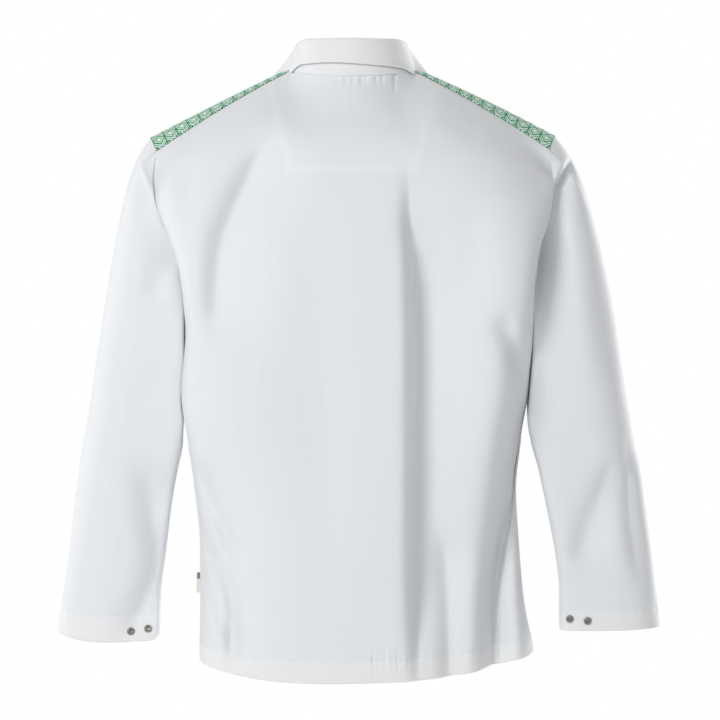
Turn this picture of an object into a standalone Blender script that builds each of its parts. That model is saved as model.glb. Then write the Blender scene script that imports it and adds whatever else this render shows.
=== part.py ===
"""A long-sleeved pullover work tunic, filled out as if worn but with no wearer.

Metres, +Z up. The origin is the middle of the neck, level with the tops of the shoulders.
+Y is the wearer's front and +X the wearer's right. Each piece of cloth is a thin wall on a smooth
surface, and the surfaces follow the section tables below, where a row is one level of the garment.
"""

import math
from bisect import bisect_right
from collections import namedtuple

import bmesh
import bpy
from mathutils import Matrix, Vector

# Cloth and seams
CLOTH = 0.0012  # wall of one ply of cloth
SEAM_GAP = 0.0003  # between two pieces that are sewn together
SIDE_GAP = 0.0008  # the same at the side seams, which bend inwards
ARMHOLE_GAP = 0.0017  # and where the sleeves meet the body at an angle
LAYER_GAP = 0.0004  # between a piece and the panel that it lies on

# Neck ring: the line where the collar joins the body
NECK_HALF_WIDTH = 0.079
NECK_HALF_DEPTH = 0.070
NECK_MIDDLE_Y = 0.008
NECK_BACK_Z = -0.0115
NECK_SIDE_Z = 0.007
NECK_FRONT_Z = -0.062
NECK_FLATNESS = 1.3  # how the ring rises from the centre to the side
BACK_SEAM_ANGLE = 75  # degrees from centre back to the back seam of the shoulder insert
FRONT_SEAM_ANGLE = 118  # and to its front seam

# Shoulder insert: its corners at the armhole and the crest between them, for each side
SHOULDER_BACK = {-1: Vector((-0.2397, -0.045, -0.1030)), 1: Vector((0.2425, -0.045, -0.1005))}
SHOULDER_CREST = {-1: Vector((-0.2505, -0.003, -0.0840)), 1: Vector((0.2520, -0.003, -0.0815))}
SHOULDER_FRONT = {-1: Vector((-0.2360, 0.048, -0.1180)), 1: Vector((0.2390, 0.048, -0.1160))}
SEAM_BOW = 0.004  # how far the shoulder seams rise above a straight line
CREST_BOW = {-1: 0.001, 1: 0.003}  # and the crest between them

# Torso, from the hem to the underarm. left and right are where a section is widest, back and
# front are how deep it is, and the seam columns turn the side seams away from the widest place,
# in degrees, towards the back if negative. The hem tilts from z_left to z_right.
Level = namedtuple("Level", "z_left z_right z_back z_front left right back front power seam_left seam_right")
TORSO = [
    Level(-0.733, -0.719, -0.7455, -0.724, -0.1915, 0.2250, -0.128, 0.112, 2.90, 3, -46),
    Level(-0.660, -0.658, -0.662, -0.660, -0.1900, 0.2130, -0.128, 0.116, 3.00, 3, -41),
    Level(-0.591, -0.591, -0.591, -0.591, -0.1905, 0.2075, -0.126, 0.117, 3.00, 2, -33),
    Level(-0.516, -0.516, -0.516, -0.516, -0.1950, 0.2040, -0.124, 0.116, 3.00, 0, -18),
    Level(-0.460, -0.460, -0.460, -0.460, -0.2045, 0.2140, -0.126, 0.117, 3.00, 0, -7),
    Level(-0.400, -0.400, -0.400, -0.400, -0.2090, 0.2195, -0.130, 0.119, 3.00, 0, 0),
    Level(-0.329, -0.329, -0.329, -0.329, -0.2050, 0.2225, -0.135, 0.123, 3.00, 0, 0),
]

SAG_POWER = 3.5  # how a level bends from its height at the sides to that at the back or front

# Back and front between the armholes. left, right and wide say where a section would be widest,
# and turn is how many degrees past that its edge lies.
Arc = namedtuple("Arc", "z_side z_middle left right wide middle power turn")
BACK_ARCS = [
    Arc(-0.287, -0.287, -0.2053, 0.2222, -0.022, -0.136, 2.90, 3),
    Arc(-0.240, -0.238, -0.2126, 0.2265, -0.045, -0.136, 2.65, -4),
    Arc(-0.179, -0.170, -0.2410, 0.2490, -0.029, -0.130, 2.40, -22),
    Arc(-0.140, -0.115, -0.2845, 0.2875, 0.025, -0.118, 2.40, -38),
]
FRONT_ARCS = [
    Arc(-0.287, -0.287, -0.1995, 0.2170, 0.022, 0.124, 2.90, 3),
    Arc(-0.240, -0.240, -0.1990, 0.2155, 0.042, 0.124, 2.65, -3),
    Arc(-0.185, -0.190, -0.2135, 0.2268, 0.026, 0.117, 2.40, -20),
    Arc(-0.150, -0.155, -0.2575, 0.2640, -0.026, 0.108, 2.40, -35),
]
ARC_FAR_SIDE = 0.13  # depth of an arc's section past its widest place
NECK_SHARE = 1 / 3  # of a panel's width, what its neckline takes of its top edge
ARC_SHARE = 10 / 13  # of a panel's height, what lies below its highest arc
# How each panel runs at its top edge, towards the neck and up: at the middle of the neckline,
# beside the neck and at the armhole
TOP_RUN = {
    False: [Vector((0, 0.45, 0.90)), Vector((0, 0.88, 0.48)), Vector((0, 0.70, 0.70))],
    True: [Vector((0, -0.45, 0.90)), Vector((0, -0.65, 0.76)), Vector((0, -0.70, 0.70))],
}

# Sleeves, from the biceps to the cuff: the inner and outer side of each, and their depth
Ring = namedtuple("Ring", "z left_in left_out right_in right_out middle depth")
SLEEVES = [
    Ring(-0.360, -0.2105, -0.3198, 0.2268, 0.3397, 0.018, 0.078),
    Ring(-0.410, -0.2112, -0.3278, 0.2217, 0.3483, 0.024, 0.074),
    Ring(-0.435, -0.2095, -0.3325, 0.2200, 0.3530, 0.026, 0.072),
    Ring(-0.460, -0.2112, -0.3376, 0.2249, 0.3572, 0.028, 0.070),
    Ring(-0.499, -0.2188, -0.3440, 0.2325, 0.3650, 0.031, 0.066),
    Ring(-0.537, -0.2253, -0.3497, 0.2402, 0.3704, 0.034, 0.062),
    Ring(-0.575, -0.2319, -0.3545, 0.2480, 0.3760, 0.037, 0.058),
    Ring(-0.613, -0.2383, -0.3600, 0.2546, 0.3815, 0.040, 0.054),
    Ring(-0.651, -0.2438, -0.3657, 0.2598, 0.3866, 0.042, 0.050),
    Ring(-0.695, -0.2452, -0.3735, 0.2615, 0.3915, 0.044, 0.047),
]
# The cuff's edge: how far below the last row its outer and inner side and its back hang
Cuff = namedtuple("Cuff", "outer inner back")
CUFFS = {-1: Cuff(0.0065, 0.0165, 0.0065), 1: Cuff(-0.0005, 0.0015, 0.0022)}
OUTER_POWER, INNER_POWER = 2.15, 2.90  # how square a sleeve is on its outer side and beside the body
CAP_SHARE = 6 / 16  # of a sleeve's length, what its head takes
CAP_REACH = 0.58  # how the sleeve leaves the armhole, outwards, as a share of its drop to the biceps
UNDERARM_REACH = 0.014  # added to that all round
CREST_REACH, CREST_FALL = 0.25, 0.22  # and at the crest of the shoulder, outwards and down
CAP_FALL = Vector((0.155, 0.06, -1)) * 2.08  # how the sleeve leaves its head, as shares of the drop

# Collar, from centre back to centre front. The fold is where it turns down, fold_in inside the
# neck ring, and the leaf ends edge_out outside the ring, at edge_angle, where flare says how much
# it turns outwards.
Spoke = namedtuple("Spoke", "angle fold_in fold_z edge_angle edge_out edge_z flare")
COLLAR = [
    Spoke(0, 0.006, 0.0325, 0, 0.008, 0.0024, 0.010),
    Spoke(25, 0.006, 0.0327, 25, 0.008, 0.0014, 0.010),
    Spoke(50, 0.007, 0.0345, 50, 0.010, -0.0025, 0.014),
    Spoke(74, 0.010, 0.0352, 74, 0.0165, 0.0020, 0.034),
    Spoke(98, 0.012, 0.0300, 95, 0.0205, -0.0020, 0.042),
    Spoke(122, 0.008, 0.0120, 113, 0.031, -0.0330, 0.038),
    Spoke(147, 0.004, -0.0150, 131, 0.038, -0.0700, 0.038),
    Spoke(174, 0.001, -0.0380, 150, 0.039, -0.1000, 0.038),
]
ROLL_RISE = 0.026  # how the leaf leaves the fold, upwards
ROLL_GAP = 0.0014  # between the leaf and the top of the stand
COLLAR_SEAM = 0.0023  # how far above the neck ring the stand begins
LEAF_FALL = 0.028  # how it reaches its edge, downwards

# Largest folds: troughs and, where depth is negative, ridges, each between two places seen from
# behind
Fold = namedtuple("Fold", "x_top z_top x_low z_low width depth")
BACK_FOLDS = [
    Fold(0.060, -0.150, 0.081, -0.380, 0.021, 0.0095),
    Fold(0.081, -0.380, 0.077, -0.745, 0.021, 0.0095),
    Fold(-0.040, -0.150, -0.030, -0.700, 0.034, 0.0040),
    Fold(-0.115, -0.110, -0.185, -0.250, 0.024, 0.0045),
    Fold(-0.190, -0.500, -0.150, -0.740, 0.024, -0.0045),
    Fold(0.105, -0.570, 0.130, -0.740, 0.022, 0.0050),
]
FRONT_FOLDS = [
    Fold(-0.075, -0.200, -0.060, -0.740, 0.030, -0.0060),
    Fold(0.060, -0.260, 0.090, -0.740, 0.026, -0.0060),
    Fold(-0.150, -0.190, -0.120, -0.420, 0.026, -0.0050),
    Fold(0.160, -0.190, 0.125, -0.450, 0.026, -0.0050),
]
SLEEVE_FOLDS = {
    -1: [
        Fold(-0.215, -0.225, -0.245, -0.300, 0.016, 0.0050),
        Fold(-0.248, -0.520, -0.285, -0.670, 0.018, 0.0045),
    ],
    1: [
        Fold(0.320, -0.500, 0.282, -0.620, 0.018, 0.0050),
        Fold(0.335, -0.490, 0.360, -0.670, 0.018, 0.0040),
    ],
}
# Trough along the lower side seam on the wearer's right, which both panels share
SIDE_FOLDS = [
    Fold(0.199, -0.450, 0.179, -0.608, 0.021, 0.0150),
    Fold(0.179, -0.608, 0.171, -0.780, 0.021, 0.0150),
]
SIDE_FOLD_EDGE = 0.05  # depth of the body over which it dies away
FOLD_END = 0.06  # over which a fold's two ends die away
FOLD_SEAM = 0.16  # of a panel's half width, where folds die away beside its edge
SLEEVE_FOLD_START = 0.1  # of a sleeve's length, where its folds die away beside the armhole

# Back neck facing, on the inside of the back
FACING_TOP_HALF = 0.107
FACING_LOW_HALF = 0.084
FACING_LOW_UP, FACING_TOP_UP = 0.755, 0.955  # levels of the back between which it lies
FACING_GAP = 0.0028

# Front slit and the two strips that close it
SLIT_HALF = 0.004  # of the front's half width, half of the open slit
SLIT_LOW_UP = 0.70  # the level of the front at which it ends
STRIP_HALF_WIDTH = 0.017
STRIP_LOW_UP = 0.66

# Press studs at the cuffs: x and z of each, on the back of the sleeve
STUD_RADIUS = 0.0050
STUD_PLACES = {
    -1: [(-0.2747, -0.6970), (-0.2533, -0.6938)],
    1: [(0.2730, -0.6815), (0.2950, -0.6838)],
}

STUD_STEPS = 16
# From the middle out and round the rim: share of the radius, and height
STUD_PROFILE = [(0, 0.0007), (0.45, 0.0007), (0.60, 0.0016), (0.85, 0.0019), (1, 0.0010), (1, 0), (0, 0)]

TAB_TOP, TAB_LOW = -0.626, -0.651  # the side tab's ends
TAB_UP = 0.104  # the level of the back at which it is sewn in
TAB_WIDTH, TAB_THICK = 0.0055, 0.0008

# How many columns and rows of facets each piece has
SIDE_COLUMNS, NECK_COLUMNS = 8, 4  # of a panel: beside its neckline and over half of it
BODY_ROWS, ARMHOLE_ROWS, TOP_ROWS = 8, 5, 4  # of a panel: to the underarm, to the highest arc, above it
OVER_ROWS = 4  # over the shoulder
CAP_ROWS, ARM_ROWS = 6, 10  # of a sleeve: its head and the rest
COLLAR_COLUMNS = 36
LEAF_ROWS = [0, 0.10, 0.22, 0.40, 0.60, 0.80, 1]
FACING_COLUMNS, FACING_ROWS = 10, 6


def slope(before, here, after):
    """The slope of a smooth curve at here that never overshoots its neighbours."""
    down, up = here - before, after - here
    return 2 * down * up / (down + up) if down * up > 0 else 0.0


def between(rows, place):
    """The table's row at place, from 0 to len(rows) - 1, on a smooth curve through the rows."""
    last = len(rows) - 1
    index = min(int(place), last - 1)
    t = place - index
    before, start, end, after = (rows[min(max(index + k, 0), last)] for k in (-1, 0, 1, 2))
    columns = zip(before, start, end, after)
    return type(start)(*(hermite(a, slope(p, a, b), b, slope(a, b, n), t) for p, a, b, n in columns))


def hermite(start, leave, end, arrive, t):
    """The value or point at t on the curve from start to end, with the given slopes at its ends."""
    return (
        start * ((1 + 2 * t) * (1 - t) ** 2)
        + end * (t * t * (3 - 2 * t))
        + leave * (t * (1 - t) ** 2)
        + arrive * (t * t * (t - 1))
    )


def smooth(share):
    """An eased share, from 0 to 1."""
    share = min(1.0, max(0.0, share))
    return share * share * (3 - 2 * share)


def squared(degrees, power):
    """Sine and cosine for a section squared off by power: 2 is an ellipse."""
    sine, cosine = math.sin(math.radians(degrees)), math.cos(math.radians(degrees))
    size = (abs(sine) ** power + abs(cosine) ** power) ** (1 / power)
    return sine / size, cosine / size


Half = namedtuple("Half", "z_left z_right z_near z_far left right wide near far power turn_left turn_right")


def torso_half(level, front):
    """The back or front half of a torso level. near is its own depth and far the other half's."""
    sign = -1 if front else 1
    near, far = (level.front, level.back) if front else (level.back, level.front)
    z_near, z_far = (level.z_front, level.z_back) if front else (level.z_back, level.z_front)
    turns = sign * level.seam_left, sign * level.seam_right
    return Half(
        level.z_left, level.z_right, z_near, z_far, level.left, level.right, 0.0, near, far, level.power, *turns
    )


def arc_half(arc, front):
    """An arc of the back or front in the same terms."""
    far = arc.wide + (-ARC_FAR_SIDE if front else ARC_FAR_SIDE)
    return Half(
        arc.z_side,
        arc.z_side,
        arc.z_middle,
        arc.z_side,
        arc.left,
        arc.right,
        arc.wide,
        arc.middle,
        far,
        arc.power,
        arc.turn,
        arc.turn,
    )


BACK_ROWS = [torso_half(level, False) for level in TORSO] + [arc_half(arc, False) for arc in BACK_ARCS]
FRONT_ROWS = [torso_half(level, True) for level in TORSO] + [arc_half(arc, True) for arc in FRONT_ARCS]


def half_point(half, across):
    """A point of a half section. across is -1 at its left edge and 1 at its right."""
    turn = half.turn_right if across > 0 else half.turn_left
    out, deep = squared(across * (90 + turn), half.power)
    depth, z_depth = (half.near, half.z_near) if deep > 0 else (half.far, half.z_far)
    z_side = half.z_left + (half.z_right - half.z_left) * (out + 1) / 2
    sag = z_depth - (half.z_left + half.z_right) / 2
    x = half.left + (half.right - half.left) * (out + 1) / 2
    return Vector((x, half.wide + (depth - half.wide) * abs(deep), z_side + sag * abs(deep) ** SAG_POWER))


def neck_point(degrees, side, outside=0.0):
    """The neck ring at an angle from centre back, on the side -1 or 1, or a place outside it."""
    sine, cosine = math.sin(math.radians(degrees)), math.cos(math.radians(degrees))
    end_z = NECK_BACK_Z if degrees < 90 else NECK_FRONT_Z
    return Vector(
        (
            side * (NECK_HALF_WIDTH + outside) * sine,
            NECK_MIDDLE_Y - (NECK_HALF_DEPTH + outside) * cosine,
            NECK_SIDE_Z + (end_z - NECK_SIDE_Z) * abs(cosine) ** NECK_FLATNESS,
        )
    )


def top_edge(across, front):
    """The top edge of the back or front: shoulder seam, neckline, shoulder seam."""
    side = 1 if across > 0 else -1
    seam, middle = (FRONT_SEAM_ANGLE, 180) if front else (BACK_SEAM_ANGLE, 0)
    if abs(across) <= NECK_SHARE:
        return neck_point(middle + (seam - middle) * abs(across) / NECK_SHARE, side)
    share = (abs(across) - NECK_SHARE) / (1 - NECK_SHARE)
    outer = (SHOULDER_FRONT if front else SHOULDER_BACK)[side]
    point = neck_point(seam, side).lerp(outer, share)
    point.z += SEAM_BOW * 4 * share * (1 - share)
    return point


def fold_depth(folds, x, z):
    """How deep the folds are at a place seen from behind."""
    total = 0.0
    for fold in folds:
        run_x, run_z = fold.x_low - fold.x_top, fold.z_low - fold.z_top
        length = math.hypot(run_x, run_z)
        down = ((x - fold.x_top) * run_x + (z - fold.z_top) * run_z) / length
        aside = ((x - fold.x_top) * run_z - (z - fold.z_top) * run_x) / length
        ends = smooth(down / FOLD_END + 0.5) * smooth((length - down) / FOLD_END + 0.5)
        total += fold.depth * ends * math.exp(-((aside / fold.width) ** 2))
    return total


def panel_point(across, up, front):
    """A point of the back or front. up is 0 at the hem and 1 at the shoulder seam."""
    rows, folds = (FRONT_ROWS, FRONT_FOLDS) if front else (BACK_ROWS, BACK_FOLDS)
    last = len(rows) - 1
    point = half_point(between(rows, min(1.0, up / ARC_SHARE) * last), across)
    if up > ARC_SHARE:
        rise = (point - half_point(between(rows, last - 0.05), across)).normalized()
        end = top_edge(across, front)
        middle, beside_neck, armhole = TOP_RUN[front]
        arrive = middle.lerp(beside_neck, smooth((abs(across) - 0.20) / 0.30))
        arrive = arrive.lerp(armhole, smooth(2 * abs(across) - 1))
        far = (end - point).length
        point = hermite(point, rise * far, end, arrive * far, (up - ARC_SHARE) / (1 - ARC_SHARE))
    inward = -1 if front else 1
    beside_seam = smooth((1 - abs(across)) / FOLD_SEAM)
    depth = inward * beside_seam * fold_depth(folds, point.x, point.z)
    point.y += depth + smooth(-point.y / SIDE_FOLD_EDGE) * fold_depth(SIDE_FOLDS, point.x, point.z)
    return point


def insert_point(side, out, over):
    """A point of a shoulder insert. out is 0 at the neck, and over is 0 at the back seam."""
    across = side * (NECK_SHARE + out * (1 - NECK_SHARE))
    back, front = top_edge(across, False), top_edge(across, True)
    neck = neck_point((BACK_SEAM_ANGLE + FRONT_SEAM_ANGLE) / 2, side)
    crest = neck.lerp(SHOULDER_CREST[side], out)
    crest.z += CREST_BOW[side] * 4 * out * (1 - out)
    pull = crest * 2 - (back + front) / 2
    return back * (1 - over) ** 2 + pull * 2 * over * (1 - over) + front * over * over


def spread(start, end, steps):
    """Evenly spaced numbers from start to end, without end."""
    return [start + (end - start) * k / steps for k in range(steps)]


# Lines of the grids. A panel's columns are places across it and its rows are levels up it.
UNDERARM_UP = ARC_SHARE * (len(TORSO) - 1) / (len(BACK_ROWS) - 1)
ARMHOLE_LEVELS = spread(UNDERARM_UP, ARC_SHARE, ARMHOLE_ROWS) + spread(ARC_SHARE, 1, TOP_ROWS) + [1]
LEVELS = spread(0, UNDERARM_UP, BODY_ROWS) + ARMHOLE_LEVELS
OVER = spread(0, 1, OVER_ROWS) + [1]


def armhole_half(side, front):
    """Corners of half an armhole, from the crest of the shoulder to the underarm."""
    crest_first = sorted((over for over in OVER if (over > 0.5) == front or over == 0.5), reverse=not front)
    over_shoulder = [insert_point(side, 1, over) for over in crest_first[:-1]]
    return over_shoulder + [panel_point(side, up, front) for up in reversed(ARMHOLE_LEVELS)]


ARMHOLES = {(side, front): armhole_half(side, front) for side in (-1, 1) for front in (False, True)}


def shares(points):
    """How far along an open line each of its corners lies, from 0 to 1."""
    run = [0.0]
    for start, end in zip(points, points[1:]):
        run.append(run[-1] + (end - start).length)
    return [length / run[-1] for length in run]


def along(points, share):
    """The point at a share of an open line's length."""
    places = shares(points)
    index = min(max(bisect_right(places, share) - 1, 0), len(points) - 2)
    return points[index].lerp(points[index + 1], (share - places[index]) / (places[index + 1] - places[index]))


def ring_point(side, ring, around):
    """A point of a sleeve section. around is 0 at its outer side, 0.25 at its back, 0.5 inside."""
    inner, outer = (ring.left_in, ring.left_out) if side < 0 else (ring.right_in, ring.right_out)
    sine, cosine = squared(around * 360, INNER_POWER if 0.25 < around < 0.75 else OUTER_POWER)
    x = (inner + outer) / 2 + (outer - inner) / 2 * cosine
    return Vector((x, ring.middle - ring.depth * sine, ring.z))


def plain_sleeve_point(side, around, down):
    """A point of a sleeve without its folds."""
    if down <= CAP_SHARE:
        front = around > 0.5
        start = along(ARMHOLES[side, front], 2 * (1 - around if front else around))
        end = ring_point(side, SLEEVES[0], around)
        drop = start.z - end.z
        crest = 1 - smooth(4 * min(around, 1 - around))
        reach = CAP_REACH + (CREST_REACH - CAP_REACH) * crest
        leave = Vector((side * reach, 0, -CREST_FALL * crest)) * drop
        leave.x += side * UNDERARM_REACH
        arrive = Vector((side * CAP_FALL.x, CAP_FALL.y, CAP_FALL.z)) * drop
        return hermite(start, leave, end, arrive, down / CAP_SHARE)
    place = (down - CAP_SHARE) / (1 - CAP_SHARE) * (len(SLEEVES) - 1)
    point = ring_point(side, between(SLEEVES, place), around)
    near_cuff = max(0.0, place - (len(SLEEVES) - 2))
    cuff, turn = CUFFS[side], around * 2 * math.pi
    hang = cuff.outer + (cuff.inner - cuff.outer) * (1 - math.cos(turn)) / 2 + cuff.back * math.sin(turn)
    point.z -= near_cuff * hang
    return point


def sleeve_point(side, around, down):
    """A point of a sleeve. down is 0 at the armhole and 1 at the cuff."""
    point = plain_sleeve_point(side, around, down)
    on_back = smooth(2 * math.sin(around * 2 * math.pi)) * smooth(down / SLEEVE_FOLD_START)
    point.y += on_back * fold_depth(SLEEVE_FOLDS[side], point.x, point.z)
    return point


def collar_spoke(around):
    """The collar's table at around, from -1 at its left front end to 1 at its right."""
    return between(COLLAR, abs(around) * (len(COLLAR) - 1))


def fold_line(around):
    """Where the collar turns down."""
    spoke = collar_spoke(around)
    point = neck_point(spoke.angle, math.copysign(1, around), -spoke.fold_in)
    point.z = spoke.fold_z
    return point


def stand_point(around, up):
    """A point of the collar's stand, from the neck seam to the fold."""
    seam = neck_point(collar_spoke(around).angle, math.copysign(1, around))
    fold = fold_line(around)
    seam.z += COLLAR_SEAM
    fold.z -= ROLL_GAP
    return seam.lerp(fold, up)


def leaf_point(around, down):
    """A point of the collar's leaf, from the fold over and down to its edge."""
    spoke = collar_spoke(around)
    fold = fold_line(around)
    edge = neck_point(spoke.edge_angle, math.copysign(1, around), spoke.edge_out)
    edge.z = spoke.edge_z
    outwards = Vector((edge.x - fold.x, edge.y - fold.y, 0)).normalized()
    flare = outwards * spoke.flare + Vector((0, 0, -LEAF_FALL))
    return hermite(fold, Vector((0, 0, ROLL_RISE)), edge, flare, down)


def raised(surface, s, t, height):
    """A point of a surface moved out along its normal, which is across s and then across t."""
    step = 0.002
    run_s = surface(s + step, t) - surface(s - step, t)
    run_t = surface(s, t + step) - surface(s, t - step)
    return surface(s, t) + run_s.cross(run_t).normalized() * height


def drawn_in(lines, length, gap=SEAM_GAP):
    """Grid lines whose first and last are drawn in by half a gap, on a surface of this length."""
    margin = gap / 2 / length * (lines[-1] - lines[0])
    return [lines[0] + margin, *lines[1:-1], lines[-1] - margin]


PANEL_WIDTH, PANEL_HEIGHT = 0.56, 0.76  # round a panel and up it, nearly
INSERT_LENGTH, INSERT_WIDTH = 0.18, 0.055
SIDE_LINES = spread(-1, -NECK_SHARE, SIDE_COLUMNS)
NECK_LINES = spread(-NECK_SHARE, -SLIT_HALF, NECK_COLUMNS)
BACK_ACROSS = SIDE_LINES + spread(-NECK_SHARE, 0, NECK_COLUMNS)
BACK_GRID = (
    drawn_in(BACK_ACROSS + [0] + [-line for line in reversed(BACK_ACROSS)], PANEL_WIDTH, SIDE_GAP),
    drawn_in(LEVELS, PANEL_HEIGHT),
)
FRONT_ACROSS = SIDE_LINES + NECK_LINES + [-SLIT_HALF]
FRONT_GRID = (
    drawn_in(FRONT_ACROSS + [-line for line in reversed(FRONT_ACROSS)], PANEL_WIDTH, SIDE_GAP),
    drawn_in(LEVELS, PANEL_HEIGHT),
)


def back_place(across, up):
    return panel_point(across, up, False)


def front_place(across, up):
    return panel_point(across, up, True)


def on_facets(place, grid, across, up):
    """A point of a panel's flat facets, which lie a little inside its smooth surface."""
    (column, s), (row, t) = (cell(lines, value) for lines, value in zip(grid, (across, up)))
    left, right = grid[0][column : column + 2]
    low, high = (place(left, level).lerp(place(right, level), s) for level in grid[1][row : row + 2])
    return low.lerp(high, t)


def cell(lines, value):
    """Which cell of the grid lines holds a value, and how far through the cell it lies."""
    index = min(max(bisect_right(lines, value) - 1, 0), len(lines) - 2)
    return index, (value - lines[index]) / (lines[index + 1] - lines[index])


def laid(place, grid, x, up, height):
    """A place height above a panel's facets, where its level crosses x."""
    low, high = -1.0, 1.0
    for _ in range(30):
        across = (low + high) / 2
        if on_facets(place, grid, across, up).x < x:
            low = across
        else:
            high = across
    level = min(up, 0.997)
    return on_facets(place, grid, across, up) + raised(place, across, level, height) - place(across, level)


def material(name, colour, roughness, metallic=0.0):
    """A plain Principled material."""
    made = bpy.data.materials.new(name)
    made.use_nodes = True
    shader = made.node_tree.nodes["Principled BSDF"]
    shader.inputs["Base Color"].default_value = (*colour, 1)
    shader.inputs["Roughness"].default_value = roughness
    shader.inputs["Metallic"].default_value = metallic
    made.diffuse_color = (*colour, 1)
    return made


def add_object(name, mesh, finish):
    """A mesh as a named object of the tunic."""
    mesh.materials.append(finish)
    made = bpy.data.objects.new(name, mesh)
    bpy.data.collections["pullover_tunic"].objects.link(made)
    return made


def cloth(name, finish, columns, rows, place, leave_out=None):
    """A wall of cloth through the points that place gives for each column and row.

    leave_out says which cells, by column and row, are cut away.
    """
    mesh = bpy.data.meshes.new(name)
    grid = bmesh.new()
    across, up = len(columns) - 1, len(rows) - 1
    bmesh.ops.create_grid(grid, x_segments=across, y_segments=up, size=0.5)
    if leave_out:
        middles = {face: face.calc_center_median() for face in grid.faces}
        cut = [f for f, c in middles.items() if leave_out(int((c.x + 0.5) * across), int((c.y + 0.5) * up))]
        bmesh.ops.delete(grid, geom=cut, context="FACES")
    for vertex in grid.verts:
        vertex.co = place(columns[round((vertex.co.x + 0.5) * across)], rows[round((vertex.co.y + 0.5) * up)])
    bmesh.ops.remove_doubles(grid, verts=grid.verts, dist=0.00001)
    grid.to_mesh(mesh)
    grid.free()
    mesh.shade_smooth()
    made = add_object(name, mesh, finish)
    wall = made.modifiers.new("wall", "SOLIDIFY")
    wall.thickness = CLOTH
    wall.offset = 0
    wall.use_even_offset = True
    return made


def add_panels(white):
    """Back and front, which meet at the side seams."""
    columns, rows = FRONT_GRID

    def in_slit(column, row):
        return column == len(columns) // 2 - 1 and rows[row] >= SLIT_LOW_UP

    cloth("back", white, *BACK_GRID, back_place)
    cloth("front", white, *FRONT_GRID, front_place, leave_out=in_slit)


def add_inserts(print_cloth):
    """The printed strip over each shoulder, between the back and the front."""
    out = drawn_in(spread(0, 1, SIDE_COLUMNS) + [1], INSERT_LENGTH)
    over = drawn_in(OVER, INSERT_WIDTH)
    for side, name in ((-1, "shoulder_insert_left"), (1, "shoulder_insert_right")):
        cloth(name, print_cloth, out, over, lambda s, t, side=side: insert_point(side, s, t))


def sleeve_grid(side):
    """Columns of a sleeve, one from each corner of its armhole, and its rows."""
    back = [share / 2 for share in shares(ARMHOLES[side, False])]
    front = [1 - share / 2 for share in reversed(shares(ARMHOLES[side, True]))]
    return back + front[1:], spread(0, CAP_SHARE, CAP_ROWS) + spread(CAP_SHARE, 1, ARM_ROWS) + [1]


def sleeve_place(side):
    """The points of a sleeve, clear of its armhole."""

    def place(around, down):
        point = sleeve_point(side, around % 1.0, down)
        if down == 0:
            point.x += side * ARMHOLE_GAP
        return point

    return place


def add_sleeves(white):
    """Sleeves, cut in one piece each and closed under the arm."""
    for side, name in ((-1, "sleeve_left"), (1, "sleeve_right")):
        cloth(name, white, *sleeve_grid(side), sleeve_place(side))


def add_collar(white):
    """Stand and leaf."""
    around = spread(-1, 1, COLLAR_COLUMNS) + [1]
    cloth("collar_stand", white, around, [0, 0.5, 1], stand_point)
    cloth("collar_leaf", white, around, LEAF_ROWS, leaf_point)


def add_facing(white):
    """Back neck facing, under the back and narrower at its lower edge."""

    def place(s, t):
        half = FACING_LOW_HALF + (FACING_TOP_HALF - FACING_LOW_HALF) * t
        level = FACING_LOW_UP + (FACING_TOP_UP - FACING_LOW_UP) * t
        return laid(back_place, BACK_GRID, (2 * s - 1) * half, level, -CLOTH - FACING_GAP)

    across, up = spread(0, 1, FACING_COLUMNS) + [1], spread(0, 1, FACING_ROWS) + [1]
    cloth("back_neck_facing", white, across, up, place)


def add_slit_strips(white):
    """The strip over the front slit and the strip under it."""
    levels = [STRIP_LOW_UP, *(level for level in FRONT_GRID[1] if level > STRIP_LOW_UP)]
    for name, height in (("slit_overlap", -CLOTH - LAYER_GAP), ("slit_underlap", CLOTH + LAYER_GAP)):

        def place(share, level, height=height):
            return laid(front_place, FRONT_GRID, share * STRIP_HALF_WIDTH, level, height)

        cloth(name, white, [-1, -0.5, 0, 0.5, 1], levels, place)


def sleeve_spot(side, x, z):
    """Where the back of a sleeve's facets lies at x and z, and which way it faces there."""
    grid, place = sleeve_grid(side), sleeve_place(side)
    around, down, step = 0.25, 0.97, 0.002
    for _ in range(20):
        point = on_facets(place, grid, around, down)
        run = on_facets(place, grid, around + step, down) - point
        around = min(0.45, max(0.05, around + step * (x - point.x) / run.x))
        down = min(1 - step, max(0.8, down + point.z - z))
    point = on_facets(place, grid, around, down)
    round_sleeve = on_facets(place, grid, around + step, down) - point
    down_sleeve = on_facets(place, grid, around, down + step) - point
    return point, round_sleeve.cross(down_sleeve).normalized() * side


def add_studs(steel):
    """Two ring press studs at the back of each cuff."""
    names = {-1: ("stud_left_outer", "stud_left_inner"), 1: ("stud_right_inner", "stud_right_outer")}
    for side in (-1, 1):
        for name, (x, z) in zip(names[side], STUD_PLACES[side]):
            mesh = bpy.data.meshes.new(name)
            points = [(share * STUD_RADIUS, 0, height) for share, height in STUD_PROFILE]
            mesh.from_pydata(points, [(k, k + 1) for k in range(len(points) - 1)], [])
            stud = add_object(name, mesh, steel)
            turn = stud.modifiers.new("turn", "SCREW")
            turn.steps = turn.render_steps = STUD_STEPS
            turn.use_merge_vertices = True
            turn.merge_threshold = 0.00001
            place, out = sleeve_spot(side, x, z)
            seat = place + out * (CLOTH / 2 + SEAM_GAP)
            stud.matrix_world = Matrix.Translation(seat) @ out.to_track_quat("Z", "Y").to_matrix().to_4x4()


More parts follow.
